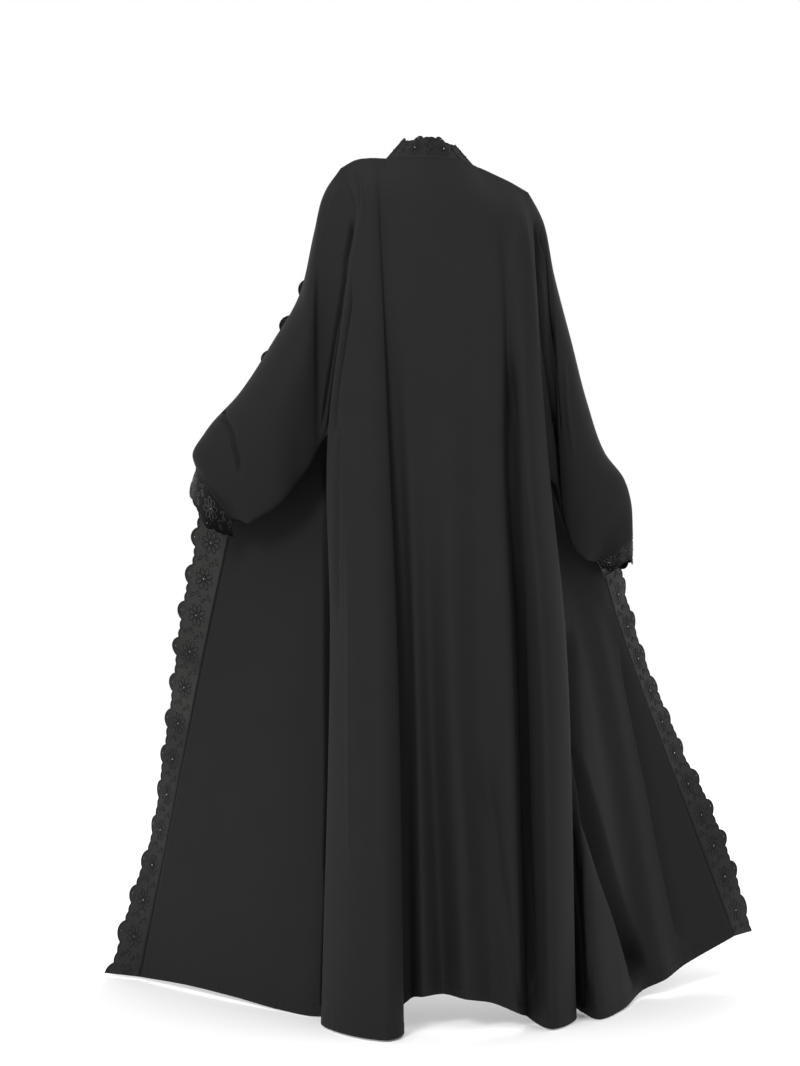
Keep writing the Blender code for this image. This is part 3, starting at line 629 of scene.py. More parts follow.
class MeshParts:
    """Vertices, faces and a UV map in metres, gathered into one mesh."""

    def __init__(self) -> None:
        """Start with nothing gathered."""
        self.verts: list[Array] = []
        self.faces: list[Array] = []
        self.corners: list[Array] = []
        self.count = 0

    def add(self, points: Array, faces: Array, coords: Array) -> None:
        """Add points, the faces between them, and the flat place of each face corner."""
        self.verts.append(points.reshape(-1, 3))
        self.faces.append(faces.reshape(-1, 4) + self.count)
        self.corners.append(coords.reshape(-1, 2))
        self.count += points.size // 3

    def add_grid(self, points: Array, coords: Array, round_trip: bool = False,
                 closed: bool = False) -> "MeshParts":
        """Add a grid of quads.

        Args:
            points: Points, rows and columns.
            coords: Place of each point on the flat cloth, in metres.
            round_trip: Join the last column to the first.
            closed: Join the last row to the first.

        Returns:
            These parts.
        """
        index = np.arange(points.size // 3).reshape(points.shape[:2])
        if round_trip:
            index = np.concatenate([index, index[:, :1]], axis=1)
            step = coords[:, -1:] - coords[:, -2:-1]
            coords = np.concatenate([coords, coords[:, -1:] + step], axis=1)
        if closed:
            index = np.concatenate([index, index[:1]], axis=0)
            coords = np.concatenate([coords, 2.0 * coords[-1:] - coords[-2:-1]], axis=0)
        self.add(points, squares(index), squares(coords))
        return self

    def add_tubes(self, paths: Array, normals: Array, tube: Tube, closed: bool) -> None:
        """Add flattened tubes, one for each path, as one set of arrays.

        Formula in words: round every path point stand the corners of a polygon, its width
        across the path in the cloth and its height along the cloth's normal.

        Args:
            paths: Points of each path, curves by points by 3.
            normals: Cloth normal at each point.
            tube: Section of the tube.
            closed: Join each path's end to its start.
        """
        curves, length = paths.shape[:2]
        if closed:
            wrapped = np.concatenate([paths[:, -1:], paths, paths[:, :1]], axis=1)
            tangents = wrapped[:, 2:] - wrapped[:, :-2]
        else:
            tangents = np.gradient(paths, axis=1)
        across = unit(np.cross(normals, unit(tangents)))
        sides = tube.sides
        turn = 2.0 * math.pi * np.arange(sides) / sides
        ring = (across[:, :, None] * (tube.half_width * np.cos(turn))[None, None, :, None]
                + normals[:, :, None] * (tube.half_height * np.sin(turn))[None, None, :, None])
        index = np.arange(curves * length * sides).reshape(curves, length, sides)
        index = np.concatenate([index, index[:, :, :1]], axis=2)
        if closed:
            index = np.concatenate([index, index[:, :1]], axis=1)
        quads = np.stack([index[:, :-1, :-1], index[:, :-1, 1:], index[:, 1:, 1:], index[:, 1:, :-1]],
                         axis=-1).reshape(-1, 4)
        if not closed:
            near, half = np.arange(sides // 2 - 1), sides - 1
            fan = np.stack([near, near + 1, half - near - 1, half - near], axis=-1)
            start = index[:, 0][:, fan].reshape(-1, 4)
            end = index[:, -1][:, fan[:, ::-1]].reshape(-1, 4)
            quads = np.concatenate([quads, start[:, ::-1], end[:, ::-1]])
        self.add(paths[:, :, None] + ring, quads, np.zeros((len(quads), 4, 2)))

    def add_stitches(self, line: Array, normals: Array, height: float, stitch: Stitch) -> None:
        """Add a row of stitches along a line on both faces of the cloth."""
        for face in (height, -height):
            self.add_tubes(*stitch_paths(line, normals, face, stitch), stitch.thread, closed=False)

    def build(self, name: str, material: Material, thickness: float = 0.0) -> bpy.types.Object:
        """Make the object at the origin, with its material and UV map.

        Args:
            name: Name of the piece.
            material: Finish of the piece.
            thickness: Thickness to give a sheet, half to each side.

        Returns:
            The new object, linked to the scene.
        """
        verts, faces, corners = (np.concatenate(part)
                                 for part in (self.verts, self.faces, self.corners))
        mesh = bpy.data.meshes.new(name)
        mesh.vertices.add(len(verts))
        mesh.vertices.foreach_set("co", verts.astype(np.float32).ravel())
        mesh.loops.add(faces.size)
        mesh.loops.foreach_set("vertex_index", faces.astype(np.int32).ravel())
        mesh.polygons.add(len(faces))
        mesh.polygons.foreach_set("loop_start", np.arange(0, faces.size, 4, dtype=np.int32))
        mesh.update(calc_edges=True)
        mesh.uv_layers.new(name="cloth_m").data.foreach_set("uv", corners.astype(np.float32).ravel())
        mesh.shade_smooth()
        mesh.materials.append(material)
        item = bpy.data.objects.new(name, mesh)
        bpy.context.scene.collection.objects.link(item)
        if thickness:
            wall = item.modifiers.new("wall", "SOLIDIFY")
            wall.thickness = thickness
            wall.offset = 0.0
            wall.use_even_offset = False
        LOG.info("%s: %d faces", name, len(faces))
        return item


# ---------------------------------------------------------------- finishes


def srgb(code: str) -> tuple[float, float, float, float]:
    """Linear colour of an sRGB hex value such as #2b2b2b."""
    parts = [int(code[i:i + 2], 16) / 255.0 for i in (1, 3, 5)]
    linear = [c / 12.92 if c <= 0.04045 else ((c + 0.055) / 1.055) ** 2.4 for c in parts]
    return (linear[0], linear[1], linear[2], 1.0)


def feed(node: bpy.types.Node, values: dict[str | int, object],
         links: dict[str | int, tuple[bpy.types.Node, str | int]]) -> None:
    """Set a node's inputs by name or number, or link them to (node, output)."""
    for key, value in values.items():
        node.inputs[key].default_value = value
    for key, (source, output) in links.items():
        node.id_data.links.new(source.outputs[output], node.inputs[key])


def add_node(tree: bpy.types.NodeTree, kind: str, values: dict[str | int, object] | None = None,
             links: dict[str | int, tuple[bpy.types.Node, str | int]] | None = None,
             **settings: object) -> bpy.types.Node:
    """Add a node with its settings and links.

    Args:
        tree: Node tree to add it to.
        kind: Blender's name for the node, after ShaderNode.
        values: Socket values by input.
        links: For an input, the node and the output that feed it.
        settings: Properties of the node.

    Returns:
        The new node.
    """
    node = tree.nodes.new(f"ShaderNode{kind}")
    for key, value in settings.items():
        setattr(node, key, value)
    feed(node, values or {}, links or {})
    return node


def fill_ramp(ramp: bpy.types.Node, stops: Stops, low: tuple[float, ...],
              high: tuple[float, ...]) -> None:
    """Set a colour ramp's stops, each a mix of two colours.

    Args:
        ramp: Colour ramp node.
        stops: Position and amount of the second colour, in order.
        low: First colour.
        high: Second colour.
    """
    elements = ramp.color_ramp.elements
    elements.remove(elements[1])
    for i, (position, amount) in enumerate(stops):
        stop = elements[0] if i == 0 else elements.new(position)
        stop.position = position
        stop.color = [a + (b - a) * amount for a, b in zip(low, high)]


def new_material(name: str) -> tuple[Material, bpy.types.NodeTree, bpy.types.Node]:
    """Empty node material of that name, its tree and its Principled shader."""
    material = bpy.data.materials.new(name)
    material.use_nodes = True
    return material, material.node_tree, material.node_tree.nodes["Principled BSDF"]


@dataclass(frozen=True)
class CrepeFinish:
    """Polyester nida crepe, piece-dyed black: dull face, faint grain, soft sheen at grazing angles."""

    face: str = "#1b1b1b"
    hollow: str = "#181818"
    sheen_tint: str = "#b8b8ba"
    sheen: float = 0.02
    sheen_roughness: float = 0.45
    specular: float = 0.10
    roughness: tuple[float, float] = (0.69, 0.81)   # in the grain's hollows and on its tops
    grain_mm: float = 2.4       # the real grain is near 0.5 mm; drawn coarser, so that it shows
    grain_stretch: float = 0.55
    grain_height: float = 0.0004
    shade_mm: float = 90.0      # slow change of the dye over the cloth

    def material(self, name: str) -> Material:
        """Material that follows the cloth's own UV map, which is in metres."""
        material, tree, shader = new_material(name)
        place = add_node(tree, "TexCoord")
        dye = add_node(tree, "TexNoise", {"Scale": MM / self.shade_mm, "Detail": 3.0},
                       {"Vector": (place, "UV")})
        tone = add_node(tree, "Mix", {6: srgb(self.hollow), 7: srgb(self.face)}, {"Factor": (dye, "Fac")},
                        data_type="RGBA")
        stretch = add_node(tree, "Mapping", {"Scale": (1.0, self.grain_stretch, 1.0)},
                           {"Vector": (place, "UV")})
        grain = add_node(tree, "TexNoise",
                         {"Scale": MM / self.grain_mm, "Detail": 2.0, "Roughness": 0.6},
                         {"Vector": (stretch, "Vector")})
        bump = add_node(tree, "Bump", {"Strength": 0.22, "Distance": self.grain_height},
                        {"Height": (grain, "Fac")})
        dull = add_node(tree, "MapRange", {"To Min": self.roughness[0], "To Max": self.roughness[1]},
                        {"Value": (grain, "Fac")})
        feed(shader, {"Specular IOR Level": self.specular, "Sheen Weight": self.sheen,
                      "Sheen Roughness": self.sheen_roughness, "Sheen Tint": srgb(self.sheen_tint)},
             {"Base Color": (tone, 2), "Normal": (bump, "Normal"), "Roughness": (dull, "Result")})
        return material


@dataclass(frozen=True)
class NetFinish:
    """Nylon tulle net: near black where it lies double, greyer where one layer hangs clear, that grey being
    painted see-through light.
    """

    thread: str = "#101010"
    double: str = "#141413"
    # grey of one clear layer: painted light seen through the net
    painted_see_through: str = "#383736"
    mesh_mm: float = 2.6        # real tulle is near 1 mm; drawn coarser, so that it shows
    unevenness: float = 0.25
    thread_share: float = 0.16
    thread_height: float = 0.0004
    hole_alpha: float = 0.94
    roughness: float = 0.62
    specular: float = 0.12
    sheen: float = 0.02

    def material(self, name: str, length: float, painted_see_through_at: Stops) -> Material:
        """Material whose hexagon net follows the trim's own UV map.

        Args:
            name: Name of the material.
            length: Length of the trim, in metres.
            painted_see_through_at: How much painted see-through light the net takes where it hangs clear,
                as (share of the length, amount) stops.

        Returns:
            The material.
        """
        material, tree, shader = new_material(name)
        place = add_node(tree, "TexCoord")
        parts = add_node(tree, "SeparateXYZ", links={"Vector": (place, "UV")})
        along = add_node(tree, "MapRange", {"From Max": length}, {"Value": (parts, "X")})
        # painted see-through light along the trim, from the stops
        painted_see_through_ramp = add_node(tree, "ValToRGB", links={"Fac": (along, "Result")})
        fill_ramp(painted_see_through_ramp, painted_see_through_at, srgb(self.double), srgb(self.painted_see_through))
        net = add_node(tree, "TexVoronoi", {"Scale": MM / self.mesh_mm, "Randomness": self.unevenness},
                       {"Vector": (place, "UV")}, feature="DISTANCE_TO_EDGE")
        hole = add_node(tree, "MapRange",
                        {"From Min": self.thread_share * 0.5, "From Max": self.thread_share * 1.5},
                        {"Value": (net, "Distance")})
        tone = add_node(tree, "Mix", {6: srgb(self.thread)},
                        {"Factor": (hole, "Result"), 7: (painted_see_through_ramp, "Color")}, data_type="RGBA")
        clear = add_node(tree, "MapRange", {"To Min": 1.0, "To Max": self.hole_alpha},
                         {"Value": (hole, "Result")})
        bump = add_node(tree, "Bump", {"Strength": 0.25, "Distance": self.thread_height},
                        {"Height": (hole, "Result")}, invert=True)
        feed(shader, {"Roughness": self.roughness, "Specular IOR Level": self.specular,
                      "Sheen Weight": self.sheen},
             {"Base Color": (tone, 2), "Alpha": (clear, "Result"), "Normal": (bump, "Normal")})
        return material


@dataclass(frozen=True)
class ThreadFinish:
    """Rayon embroidery thread, wound close: deeper black than the net, with a silky gleam."""

    colour: str = "#101010"
    deep: str = "#080808"
    roughness: float = 0.55
    gloss: float = 0.15
    thread_mm: float = 0.9
    rib_height: float = 0.0003

    def material(self, name: str) -> Material:
        """Material with fine ribs of thread."""
        material, tree, shader = new_material(name)
        place = add_node(tree, "TexCoord")
        ribs = add_node(tree, "TexNoise", {"Scale": MM / self.thread_mm, "Detail": 1.0},
                        {"Vector": (place, "Object")})
        bump = add_node(tree, "Bump", {"Strength": 0.3, "Distance": self.rib_height},
                        {"Height": (ribs, "Fac")})
        shade = add_node(tree, "Mix", {6: srgb(self.deep), 7: srgb(self.colour)},
                         {"Factor": (ribs, "Fac")}, data_type="RGBA")
        feed(shader, {"Roughness": self.roughness, "Specular IOR Level": self.gloss},
             {"Base Color": (shade, 2), "Normal": (bump, "Normal")})
        return material


@dataclass(frozen=True)
class BeadFinish:
    """Silver-lined glass seed bead: bright, smooth and hard."""

    colour: str = "#c9ccd2"
    deep: str = "#8f9298"
    metallic: float = 0.85
    roughness: float = 0.16
    change_mm: float = 25.0     # about the way from one bead to the next

    def material(self, name: str) -> Material:
        """Material with a slight change of tone from bead to bead."""
        material, tree, shader = new_material(name)
        place = add_node(tree, "TexCoord")
        tone = add_node(tree, "TexNoise", {"Scale": MM / self.change_mm},
                        {"Vector": (place, "Object")})
        shade = add_node(tree, "Mix", {6: srgb(self.deep), 7: srgb(self.colour)},
                         {"Factor": (tone, "Fac")}, data_type="RGBA")
        feed(shader, {"Metallic": self.metallic, "Roughness": self.roughness},
             {"Base Color": (shade, 2)})
        return material


# ---------------------------------------------------------------- cloth with creases


@dataclass(frozen=True)
class Crease:
    """Soft trough or ridge pressed into a sheet along a path of places on it.

    A place is (column, row): on a panel the fold line and the metres down the cloth, on a
    sleeve the share round it from the shoulder by the back and the share down it.
    """

    path: Stops
    width_mm: tuple[float, float]   # on the left and on the right, seen from outside
    depth_mm: float                 # outwards is positive
    fade: tuple[float, float]       # metres over which each end dies away
    sharpness: float = 2.0

    def height(self, coords: Array, line: Array) -> Array:
        """How far the crease moves each point out.

        Formula in words: the depth times e to minus a power of the distance over the width of
        that side, dying away smoothly over the fade at each end.

        Args:
            coords: Flat place of each point.
            line: Flat places along the crease.

        Returns:
            A height for each point.
        """
        left_width, right_width = (side / MM for side in self.width_mm)
        nearest = np.full(coords.shape[:2], np.inf)
        along, width = np.zeros(nearest.shape), np.full(nearest.shape, left_width)
        reached = reached_along(line)
        for start, end, before in zip(line[:-1], line[1:], reached[:-1]):
            step, away = end - start, coords - start
            share = np.clip((away @ step) / max(step @ step, TINY), 0.0, 1.0)
            apart = np.linalg.norm(away - share[..., None] * step, axis=-1)
            closer = apart < nearest
            nearest = np.where(closer, apart, nearest)
            along = np.where(closer, before + share * np.linalg.norm(step), along)
            to_right = step[0] * away[..., 1] - step[1] * away[..., 0] > 0.0
            width = np.where(closer, np.where(to_right, right_width, left_width), width)
        result = self.depth_mm / MM * np.exp(-(nearest / width) ** self.sharpness)
        for fade, left in zip(self.fade, (along, reached[-1] - along)):
            if fade > 0.0:
                result *= smooth(left / fade)
        return result


def groove(apart: Array, size: Groove) -> Array:
    """Narrow channel: minus the depth times e to minus the square of distance over width."""
    return -size.depth * np.exp(-(apart / size.width) ** 2)


class Cloth:
    """A sheet as a grid, with the place of every row and column on the real cloth."""

    def __init__(self, points: Array, rows: Array, columns: Array, round_trip: bool = False) -> None:
        """Measure the sheet, and lay it flat by the distances along its rows and columns.

        Args:
            points: Points, rows down and columns across.
            rows: Place of each row.
            columns: Place of each column.
            round_trip: The last column meets the first.
        """
        self.points, self.rows, self.columns, self.round_trip = points, rows, columns, round_trip
        steps = (np.linalg.norm(np.diff(points, axis=axis), axis=2) for axis in (0, 1))
        down, across = (np.cumsum(np.insert(step, 0, 0.0, axis=axis), axis=axis)
                        for axis, step in enumerate(steps))
        middle = points.shape[1] // 2
        self.coords = np.stack([across - across[:, middle:middle + 1], -down], axis=-1)
        self.normals = surface_normals(points, round_trip)

    def locate(self, path: Stops) -> Array:
        """Flat places of a smooth line through a path of (column, row) places."""
        knots = np.array(path)
        order = np.argsort(self.columns)
        steps = np.linspace(0.0, len(knots) - 1.0, CREASE_STEPS * len(knots))
        at = through(np.arange(len(knots)), knots, steps)
        rows = np.interp(at[:, 1], self.rows, np.arange(len(self.rows)))
        upper = np.minimum(rows.astype(int), len(self.rows) - 2)
        on_row = [[[np.interp(x, self.columns[order], self.coords[i + down, order, axis])
                    for axis in (0, 1)] for x, i in zip(at[:, 0], upper)] for down in (0, 1)]
        part = (rows - upper)[:, None]
        return np.array(on_row[0]) * (1.0 - part) + np.array(on_row[1]) * part

    def press(self, creases: tuple[Crease, ...], share: Array | float = 1.0) -> None:
        """Move the sheet's points out or in along its normals by every crease.

        Args:
            creases: The creases.
            share: How much of them each point takes.
        """
        total = np.zeros(self.points.shape[:2])
        once_round = np.zeros_like(self.coords)
        once_round[..., 0] = np.ptp(self.coords[..., 0], axis=1)[:, None]
        for crease in creases:
            line = self.locate(crease.path)
            for turns in (-1.0, 0.0, 1.0) if self.round_trip else (0.0,):
                total += crease.height(self.coords + turns * once_round, line)
        self.raise_by(total * share)

    def raise_by(self, heights: Array) -> None:
        """Move every point out along its normal, and measure the normals again."""
        self.points = self.points + self.normals * heights[..., None]
        self.normals = surface_normals(self.points, self.round_trip)

    def from_column(self, column: int) -> Array:
        """Distance of each point across the cloth from one column."""
        return np.abs(self.coords[..., 0] - self.coords[:, column, 0][:, None])

    def from_row(self, row: int) -> Array:
        """Distance of each point down the cloth from one row."""
        return np.abs(self.coords[..., 1] - self.coords[row, :, 1][None, :])


# ---------------------------------------------------------------- body and sleeves


class Cut(NamedTuple):
    """Flat size of a cut of crepe."""

    width: float
    length: float
    area: float


class CrepePiece:
    """A cut of crepe that is its own solid: its name and its fine grid."""

    name: str
    cloth: Cloth

    def make_cloth(self, crepe: Material) -> bpy.types.Object:
        """The cloth itself, which stands for its solid."""
        parts = MeshParts().add_grid(self.cloth.points, self.cloth.coords, self.cloth.round_trip)
        return declare(parts.build(f"{self.name}_cloth", crepe, CLOTH_THICKNESS), self.name)


@dataclass
class Panel(CrepePiece):
    """One panel of the body: its fine grid, and the coarse one that the solids have."""

    name: str
    net: Array
    half: Half
    steps: int                  # grid steps between two fold lines of the solid
    fine: int                   # grid steps between two fold lines here
    creases: tuple[Crease, ...]
    mirrored: bool = False
    hem: float = 0.019          # depth of the turned hem
    hem_rise: float = 0.0005
    hem_softness: float = 0.0011
    pucker_height: float = 0.00055
    pucker_reach: float = 0.034
    pucker_wave: float = 410.0  # radians to the metre, as the next two
    pucker_swing_wave: float = 61.0
    pucker_group_wave: float = 23.0
    pucker_swing: float = 1.7
    pucker_phase: float = 0.6
    neck_step: float = 0.003    # between grid rows over the inset next to the neck
    hem_step: float = 0.0016
    row_inset: float = 0.024
    edge_step: float = 0.035    # between grid columns next to both edges, in fold lines
    edge_inset: float = 0.16
    top_drop: float = 0.0007    # sinks the shoulder row into its seam
    cloth: Cloth = field(init=False)
    coarse: Cloth = field(init=False)
    hem_row: int = field(init=False)

    def __post_init__(self) -> None:
        """Work out both grids, and press the creases, seams and hem into the fine one."""
        folds = self.net.shape[1] - 1
        self.coarse = self.grid(coarse_rows(), np.linspace(0.0, folds, folds * self.steps + 1))
        underarm, lower = STATIONS[UNDERARM], STATIONS[-1]
        rows = spread(0.0, lower, PANEL_LEVELS, self.neck_step, self.hem_step, self.row_inset)
        rows = np.unique(np.concatenate([rows, [underarm, lower - self.hem]]))
        rows = rows[np.concatenate([[True], np.diff(rows) > ROW_GAP])]
        rows[np.argmin(np.abs(rows - underarm))] = underarm
        self.hem_row = int(np.argmin(np.abs(rows - (lower - self.hem))))
        columns = spread(0.0, float(folds), folds * self.fine, self.edge_step, self.edge_step,
                         self.edge_inset)
        self.cloth = self.grid(rows, columns)
        shoulder = self.cloth.points[0].copy()
        self.cloth.press(self.creases)
        self.finish_edges()
        self.cloth.points[0] = shoulder + np.array([0.0, 0.0, -self.top_drop])

    def grid(self, rows: Array, folds: Array) -> Cloth:
        """Level grid of the panel at the given rows and folds, its face outwards."""
        points = level_shoulders(panel_grid(self.net, rows, folds), rows, self.half)
        if self.mirrored:
            return Cloth(points[:, ::-1], rows, folds[::-1])
        return Cloth(points, rows, folds)

    def finish_edges(self) -> None:
        """Sink the seams, and raise the turned hem with its row of stitches and small puckers.

        Formula in words: narrow channels along the seams, an S-shaped step up at the hem, and
        two sines whose product dies away above the hem.
        """
        cloth = self.cloth
        hem = cloth.from_row(-1)
        across = cloth.coords[..., 0]
        heights = groove(cloth.from_column(0), SIDE_SEAM)
        heights += groove(cloth.from_column(-1), SIDE_SEAM)
        heights += groove(cloth.from_row(0), SHOULDER_SEAM)
        turned = 1.0 / (1.0 + np.exp(np.clip((hem - self.hem) / self.hem_softness, -30.0, 30.0)))
        heights += self.hem_rise * turned + groove(hem - self.hem, HEM_SEAM)
        swing = self.pucker_swing * np.sin(across * self.pucker_swing_wave)
        pucker = np.sin(across * self.pucker_wave + swing)
        pucker *= np.sin(across * self.pucker_group_wave + self.pucker_phase)
        heights += self.pucker_height * pucker * np.exp(-(hem / self.pucker_reach) ** 2)
        cloth.raise_by(heights)

    def edge(self, column: int) -> Array:
        """The panel's edge down to the underarm."""
        return self.cloth.points[self.cloth.rows <= STATIONS[UNDERARM] + SAME_PLACE, column]

    def build(self, crepe: Material, thread: Material, cut: Cut) -> None:
        """Make the panel in its crepe, and its hem stitches in their thread."""
        piece, sewing = self.make_cloth(crepe), MeshParts()
        sewing.add_stitches(self.cloth.points[self.hem_row], self.cloth.normals[self.hem_row],
                            CLOTH_THICKNESS * 0.5, HEM_STITCH)
        stitches = declare(sewing.build(f"{self.name}_hem_stitches", thread))


def sew_side(back: Panel, back_column: int, front: Panel, front_column: int) -> None:
    """Bring the edges of a side seam together, halfway between them."""
    below = back.cloth.rows >= STATIONS[UNDERARM] - SAME_PLACE
    seam = (back.cloth.points[below, back_column] + front.cloth.points[below, front_column]) / 2.0
    back.cloth.points[below, back_column] = seam
    front.cloth.points[below, front_column] = seam


@dataclass
class Sleeve(CrepePiece):
    """Wide sleeve from the armhole to the cuff, sewn to one column of the back and the front."""

    name: str
    rings: tuple[Ring, ...]
    back: Panel
    front: Panel
    back_column: int
    front_column: int
    creases: tuple[Crease, ...]
    mirrored: bool = False
    steps: int = 190
    free_after: float = 0.009   # creases start beyond the armhole's seam
    cloth: Cloth = field(init=False)

    def __post_init__(self) -> None:
        """Work out the fine grid and press the creases into it."""
        back_edge = parted(self.back.edge(self.back_column), SLEEVE_PARTS)
        front_edge = parted(self.front.edge(self.front_column), SLEEVE_PARTS)
        points = sleeve_grid(self.rings, back_edge, front_edge, self.steps)
        rows = self.back.cloth.rows
        rows = rows[rows <= STATIONS[UNDERARM] + SAME_PLACE, None]
        down = parted(rows, SLEEVE_PARTS)[:, 0] / STATIONS[UNDERARM]
        share = np.concatenate([0.5 * down, 1.0 - 0.5 * down[-2:0:-1]])
        if self.mirrored:
            points, share = points[:, ::-1], share[::-1]
        self.cloth = Cloth(points, np.linspace(0.0, 1.0, self.steps + 1), share, round_trip=True)
        armhole, first = points[0].copy(), self.cloth.from_row(0)
        self.cloth.press(self.creases, smooth(first / self.free_after))
        cuff = self.cloth.from_row(-1)
        self.cloth.raise_by(groove(first, ARMHOLE_SEAM) + groove(cuff, CUFF_SEAM))
        self.cloth.points[0] = armhole

    def build(self, crepe: Material, cut: Cut) -> None:
        """Make the sleeve in its crepe."""
        piece = self.make_cloth(crepe)


# ---------------------------------------------------------------- trims


@dataclass
class Strip:
    """Ruled strip of net: a base line, the way across it at each place, and a lobed edge."""

    base: Array
    ways: Array
    width: float
    pitch: float
    last_lobe: float            # from the last lobe to the end, as a share of the pitch
    facing: float               # +1 where base line by way looks outwards
    sway: float                 # how far the outer edge waves out of the strip
    closed: bool = False
    reached: Array = field(init=False)
    length: float = field(init=False)
    slopes: Array = field(init=False)
    turns: Array = field(init=False)

    def __post_init__(self) -> None:
        """Measure the base line, and how it and the ways change along it."""
        self.reached = reached_along(self.base)
        self.length = float(self.reached[-1])
        self.slopes, self.turns = (np.gradient(line, self.reached, axis=0)
                                   for line in (self.base, self.ways))

    def lobes(self, along: Array | float) -> Array | float:
        """Place along the strip, counted in lobes."""
        return along / self.pitch - (self.length / self.pitch - self.last_lobe)

    def edge(self, along: Array) -> Array:
        """Distance from the base line to the lobed edge."""
        return self.width * lobed(self.lobes(along))

    def centres(self) -> Array:
        """Places of the lobes, with one before the start and one past the end."""
        first = self.lobes(0.0)
        return (np.arange(math.floor(first) - 1, 2) - first) * self.pitch

    def steps(self, step: float) -> Array:
        """Places along the strip about a step apart, the last one left out where it is closed."""
        along = np.linspace(0.0, self.length, round(self.length / step) + 1)
        return along[:-1] if self.closed else along

    def at(self, along: Array, across: Array | float,
           height: Array | float = 0.0) -> tuple[Array, Array]:
        """Points and normals of the strip.

        Formula in words: the base line plus the way across it, raised by two sine waves whose
        phases swing by another sine and that grow from the base to the edge, and by the height.

        Args:
            along: Distances along the base line.
            across: Distances from the base line.
            height: Height above the strip's middle.

        Returns:
            Points and outward normals, shaped as the two arrays.
        """
        shape = np.broadcast_shapes(np.shape(along), np.shape(across))
        place = np.broadcast_to(along, shape)
        s = (place % self.length if self.closed else np.clip(place, 0.0, self.length)).ravel()
        w = np.broadcast_to(across, shape).ravel()[:, None]
        centre, way, slope, turning = (along_line(values, self.reached, s) for values in (
            self.base, self.ways, self.slopes, self.turns))
        way = unit(way)
        normal = unit(np.cross(slope + turning * w, way)) * self.facing
        turn = 2.0 * math.pi * s / self.length
        waved = np.zeros(len(s))
        for wave in WAVES:
            phase = (round(self.length / wave.length) or 1) * turn + wave.swing * np.sin(wave.swings * turn)
            waved += wave.share * np.sin(phase + wave.phase)
        grown = np.clip(w[:, 0] / self.width, 0.0, WAVE_REACH) ** WAVE_POWER
        rise = self.sway * waved * grown + np.broadcast_to(height, shape).ravel()
        points = centre + way * w + normal * rise[:, None]
        return points.reshape(shape + (3,)), normal.reshape(shape + (3,))


@dataclass(frozen=True)
class Flower:
    """Outline flower of the embroidery, its lobe petal and the leaves beside it."""

    petals: int = 8
    tilt: float = 0.2
    centre: float = 0.44        # from the base line, as a share of the trim's width
    petal_at: float = 0.0145    # from the flower's centre
    petal: tuple[float, float] = (0.0078, 0.0046)   # half its length, half its width
    stamen_at: float = 0.0087
    stamen: tuple[float, float] = (0.0028, 0.0004)
    ring: float = 0.0042
    leaf: tuple[float, float] = (0.0066, 0.0027)
    leaves: tuple[Place, ...] = ((0.50, 0.66, 0.9), (0.43, 0.50, 2.3),
                                 (0.56, 0.34, 0.7), (0.46, 0.20, 2.5))
    larger: float = 0.12        # a narrow trim's flower, over the trim's share of the full width
    lobe_petal_at: float = 0.9  # from the lobe's tip, as a share of its depth
    lobe_petal: float = 0.5     # its half axes, as a share of half a lobe and of its depth
    points: int = 12

    def loops(self, width: float, pitch: float) -> Array:
        """Closed outlines of one flower and four leaves, about the middle of a lobe.

        Formula in words: the petals stand round the centre with a stamen between each two, and
        the leaves stand between two flowers, each at a share of the pitch and of the width and
        with its own turn.

        Args:
            width: Width of the trim.
            pitch: From one lobe to the next.

        Returns:
            Places as (along, across), loops by points by two.
        """
        size = min(1.0, width / FRONT_TRIM_WIDTH + self.larger)
        turn = 2.0 * math.pi * np.arange(self.petals) / self.petals + self.tilt
        middle = self.centre * width
        rows = [(away * size * math.cos(a), middle + away * size * math.sin(a), long * size, wide, a)
                for away, long, wide, turns in (
                    (self.petal_at, self.petal[0], self.petal[1] * size, turn),
                    (self.stamen_at, *self.stamen, turn + math.pi / self.petals)) for a in turns]
        rows.append((0.0, middle, self.ring * size, self.ring * size, 0.0))
        rows += [(along * pitch, across * width, self.leaf[0] * size, self.leaf[1] * size, a)
                 for along, across, a in self.leaves]
        return self.outlines(rows)

    def lobe_loops(self, width: float, pitch: float) -> Array:
        """Closed outline of the petal that fills one lobe, shaped as those of the flower."""
        middle = width * (1.0 - self.lobe_petal_at * LOBE_SHARE)
        half = (LOBE_HALF * pitch * self.lobe_petal, width * LOBE_SHARE * self.lobe_petal)
        return self.outlines([(0.0, middle, *half, 0.0)])

    def outlines(self, rows: list[tuple[float, ...]]) -> Array:
        """Ellipses from rows of centre along and across, two half axes and turn."""
        along, across, long, wide, turn = np.array(rows).T[:, :, None]
        t = 2.0 * math.pi * np.arange(self.points) / self.points
        u, v = long * np.cos(t), wide * np.sin(t)
        return np.stack([along + (u * np.cos(turn) - v * np.sin(turn)),
                         across + (u * np.sin(turn) + v * np.cos(turn))], axis=-1)


def bead_mesh(radius: float) -> tuple[Array, Array]:
    """Points and quads of a round bead: a cube of 24 squares swollen to a ball."""
    step = np.array([-1.0, 0.0, 1.0])
    sides = []
    for axis in range(3):
        for sign in (-1.0, 1.0):
            u, v = np.meshgrid(step, step * sign, indexing="ij")
            sides.append(np.roll(np.stack([u, v, np.full_like(u, sign)], axis=-1), axis, axis=-1))
    corners = np.concatenate([squares(side).reshape(-1, 4, 3) for side in sides])
    points, index = np.unique(corners.reshape(-1, 3), axis=0, return_inverse=True)
    return unit(points) * radius, index.reshape(-1, 4)


@dataclass(frozen=True)
class TrimLook:
    """Finishes of the pieces on a trim."""

    thread: Material
    cord: Material
    bead: Material
    binding: Material
    sewing: Material


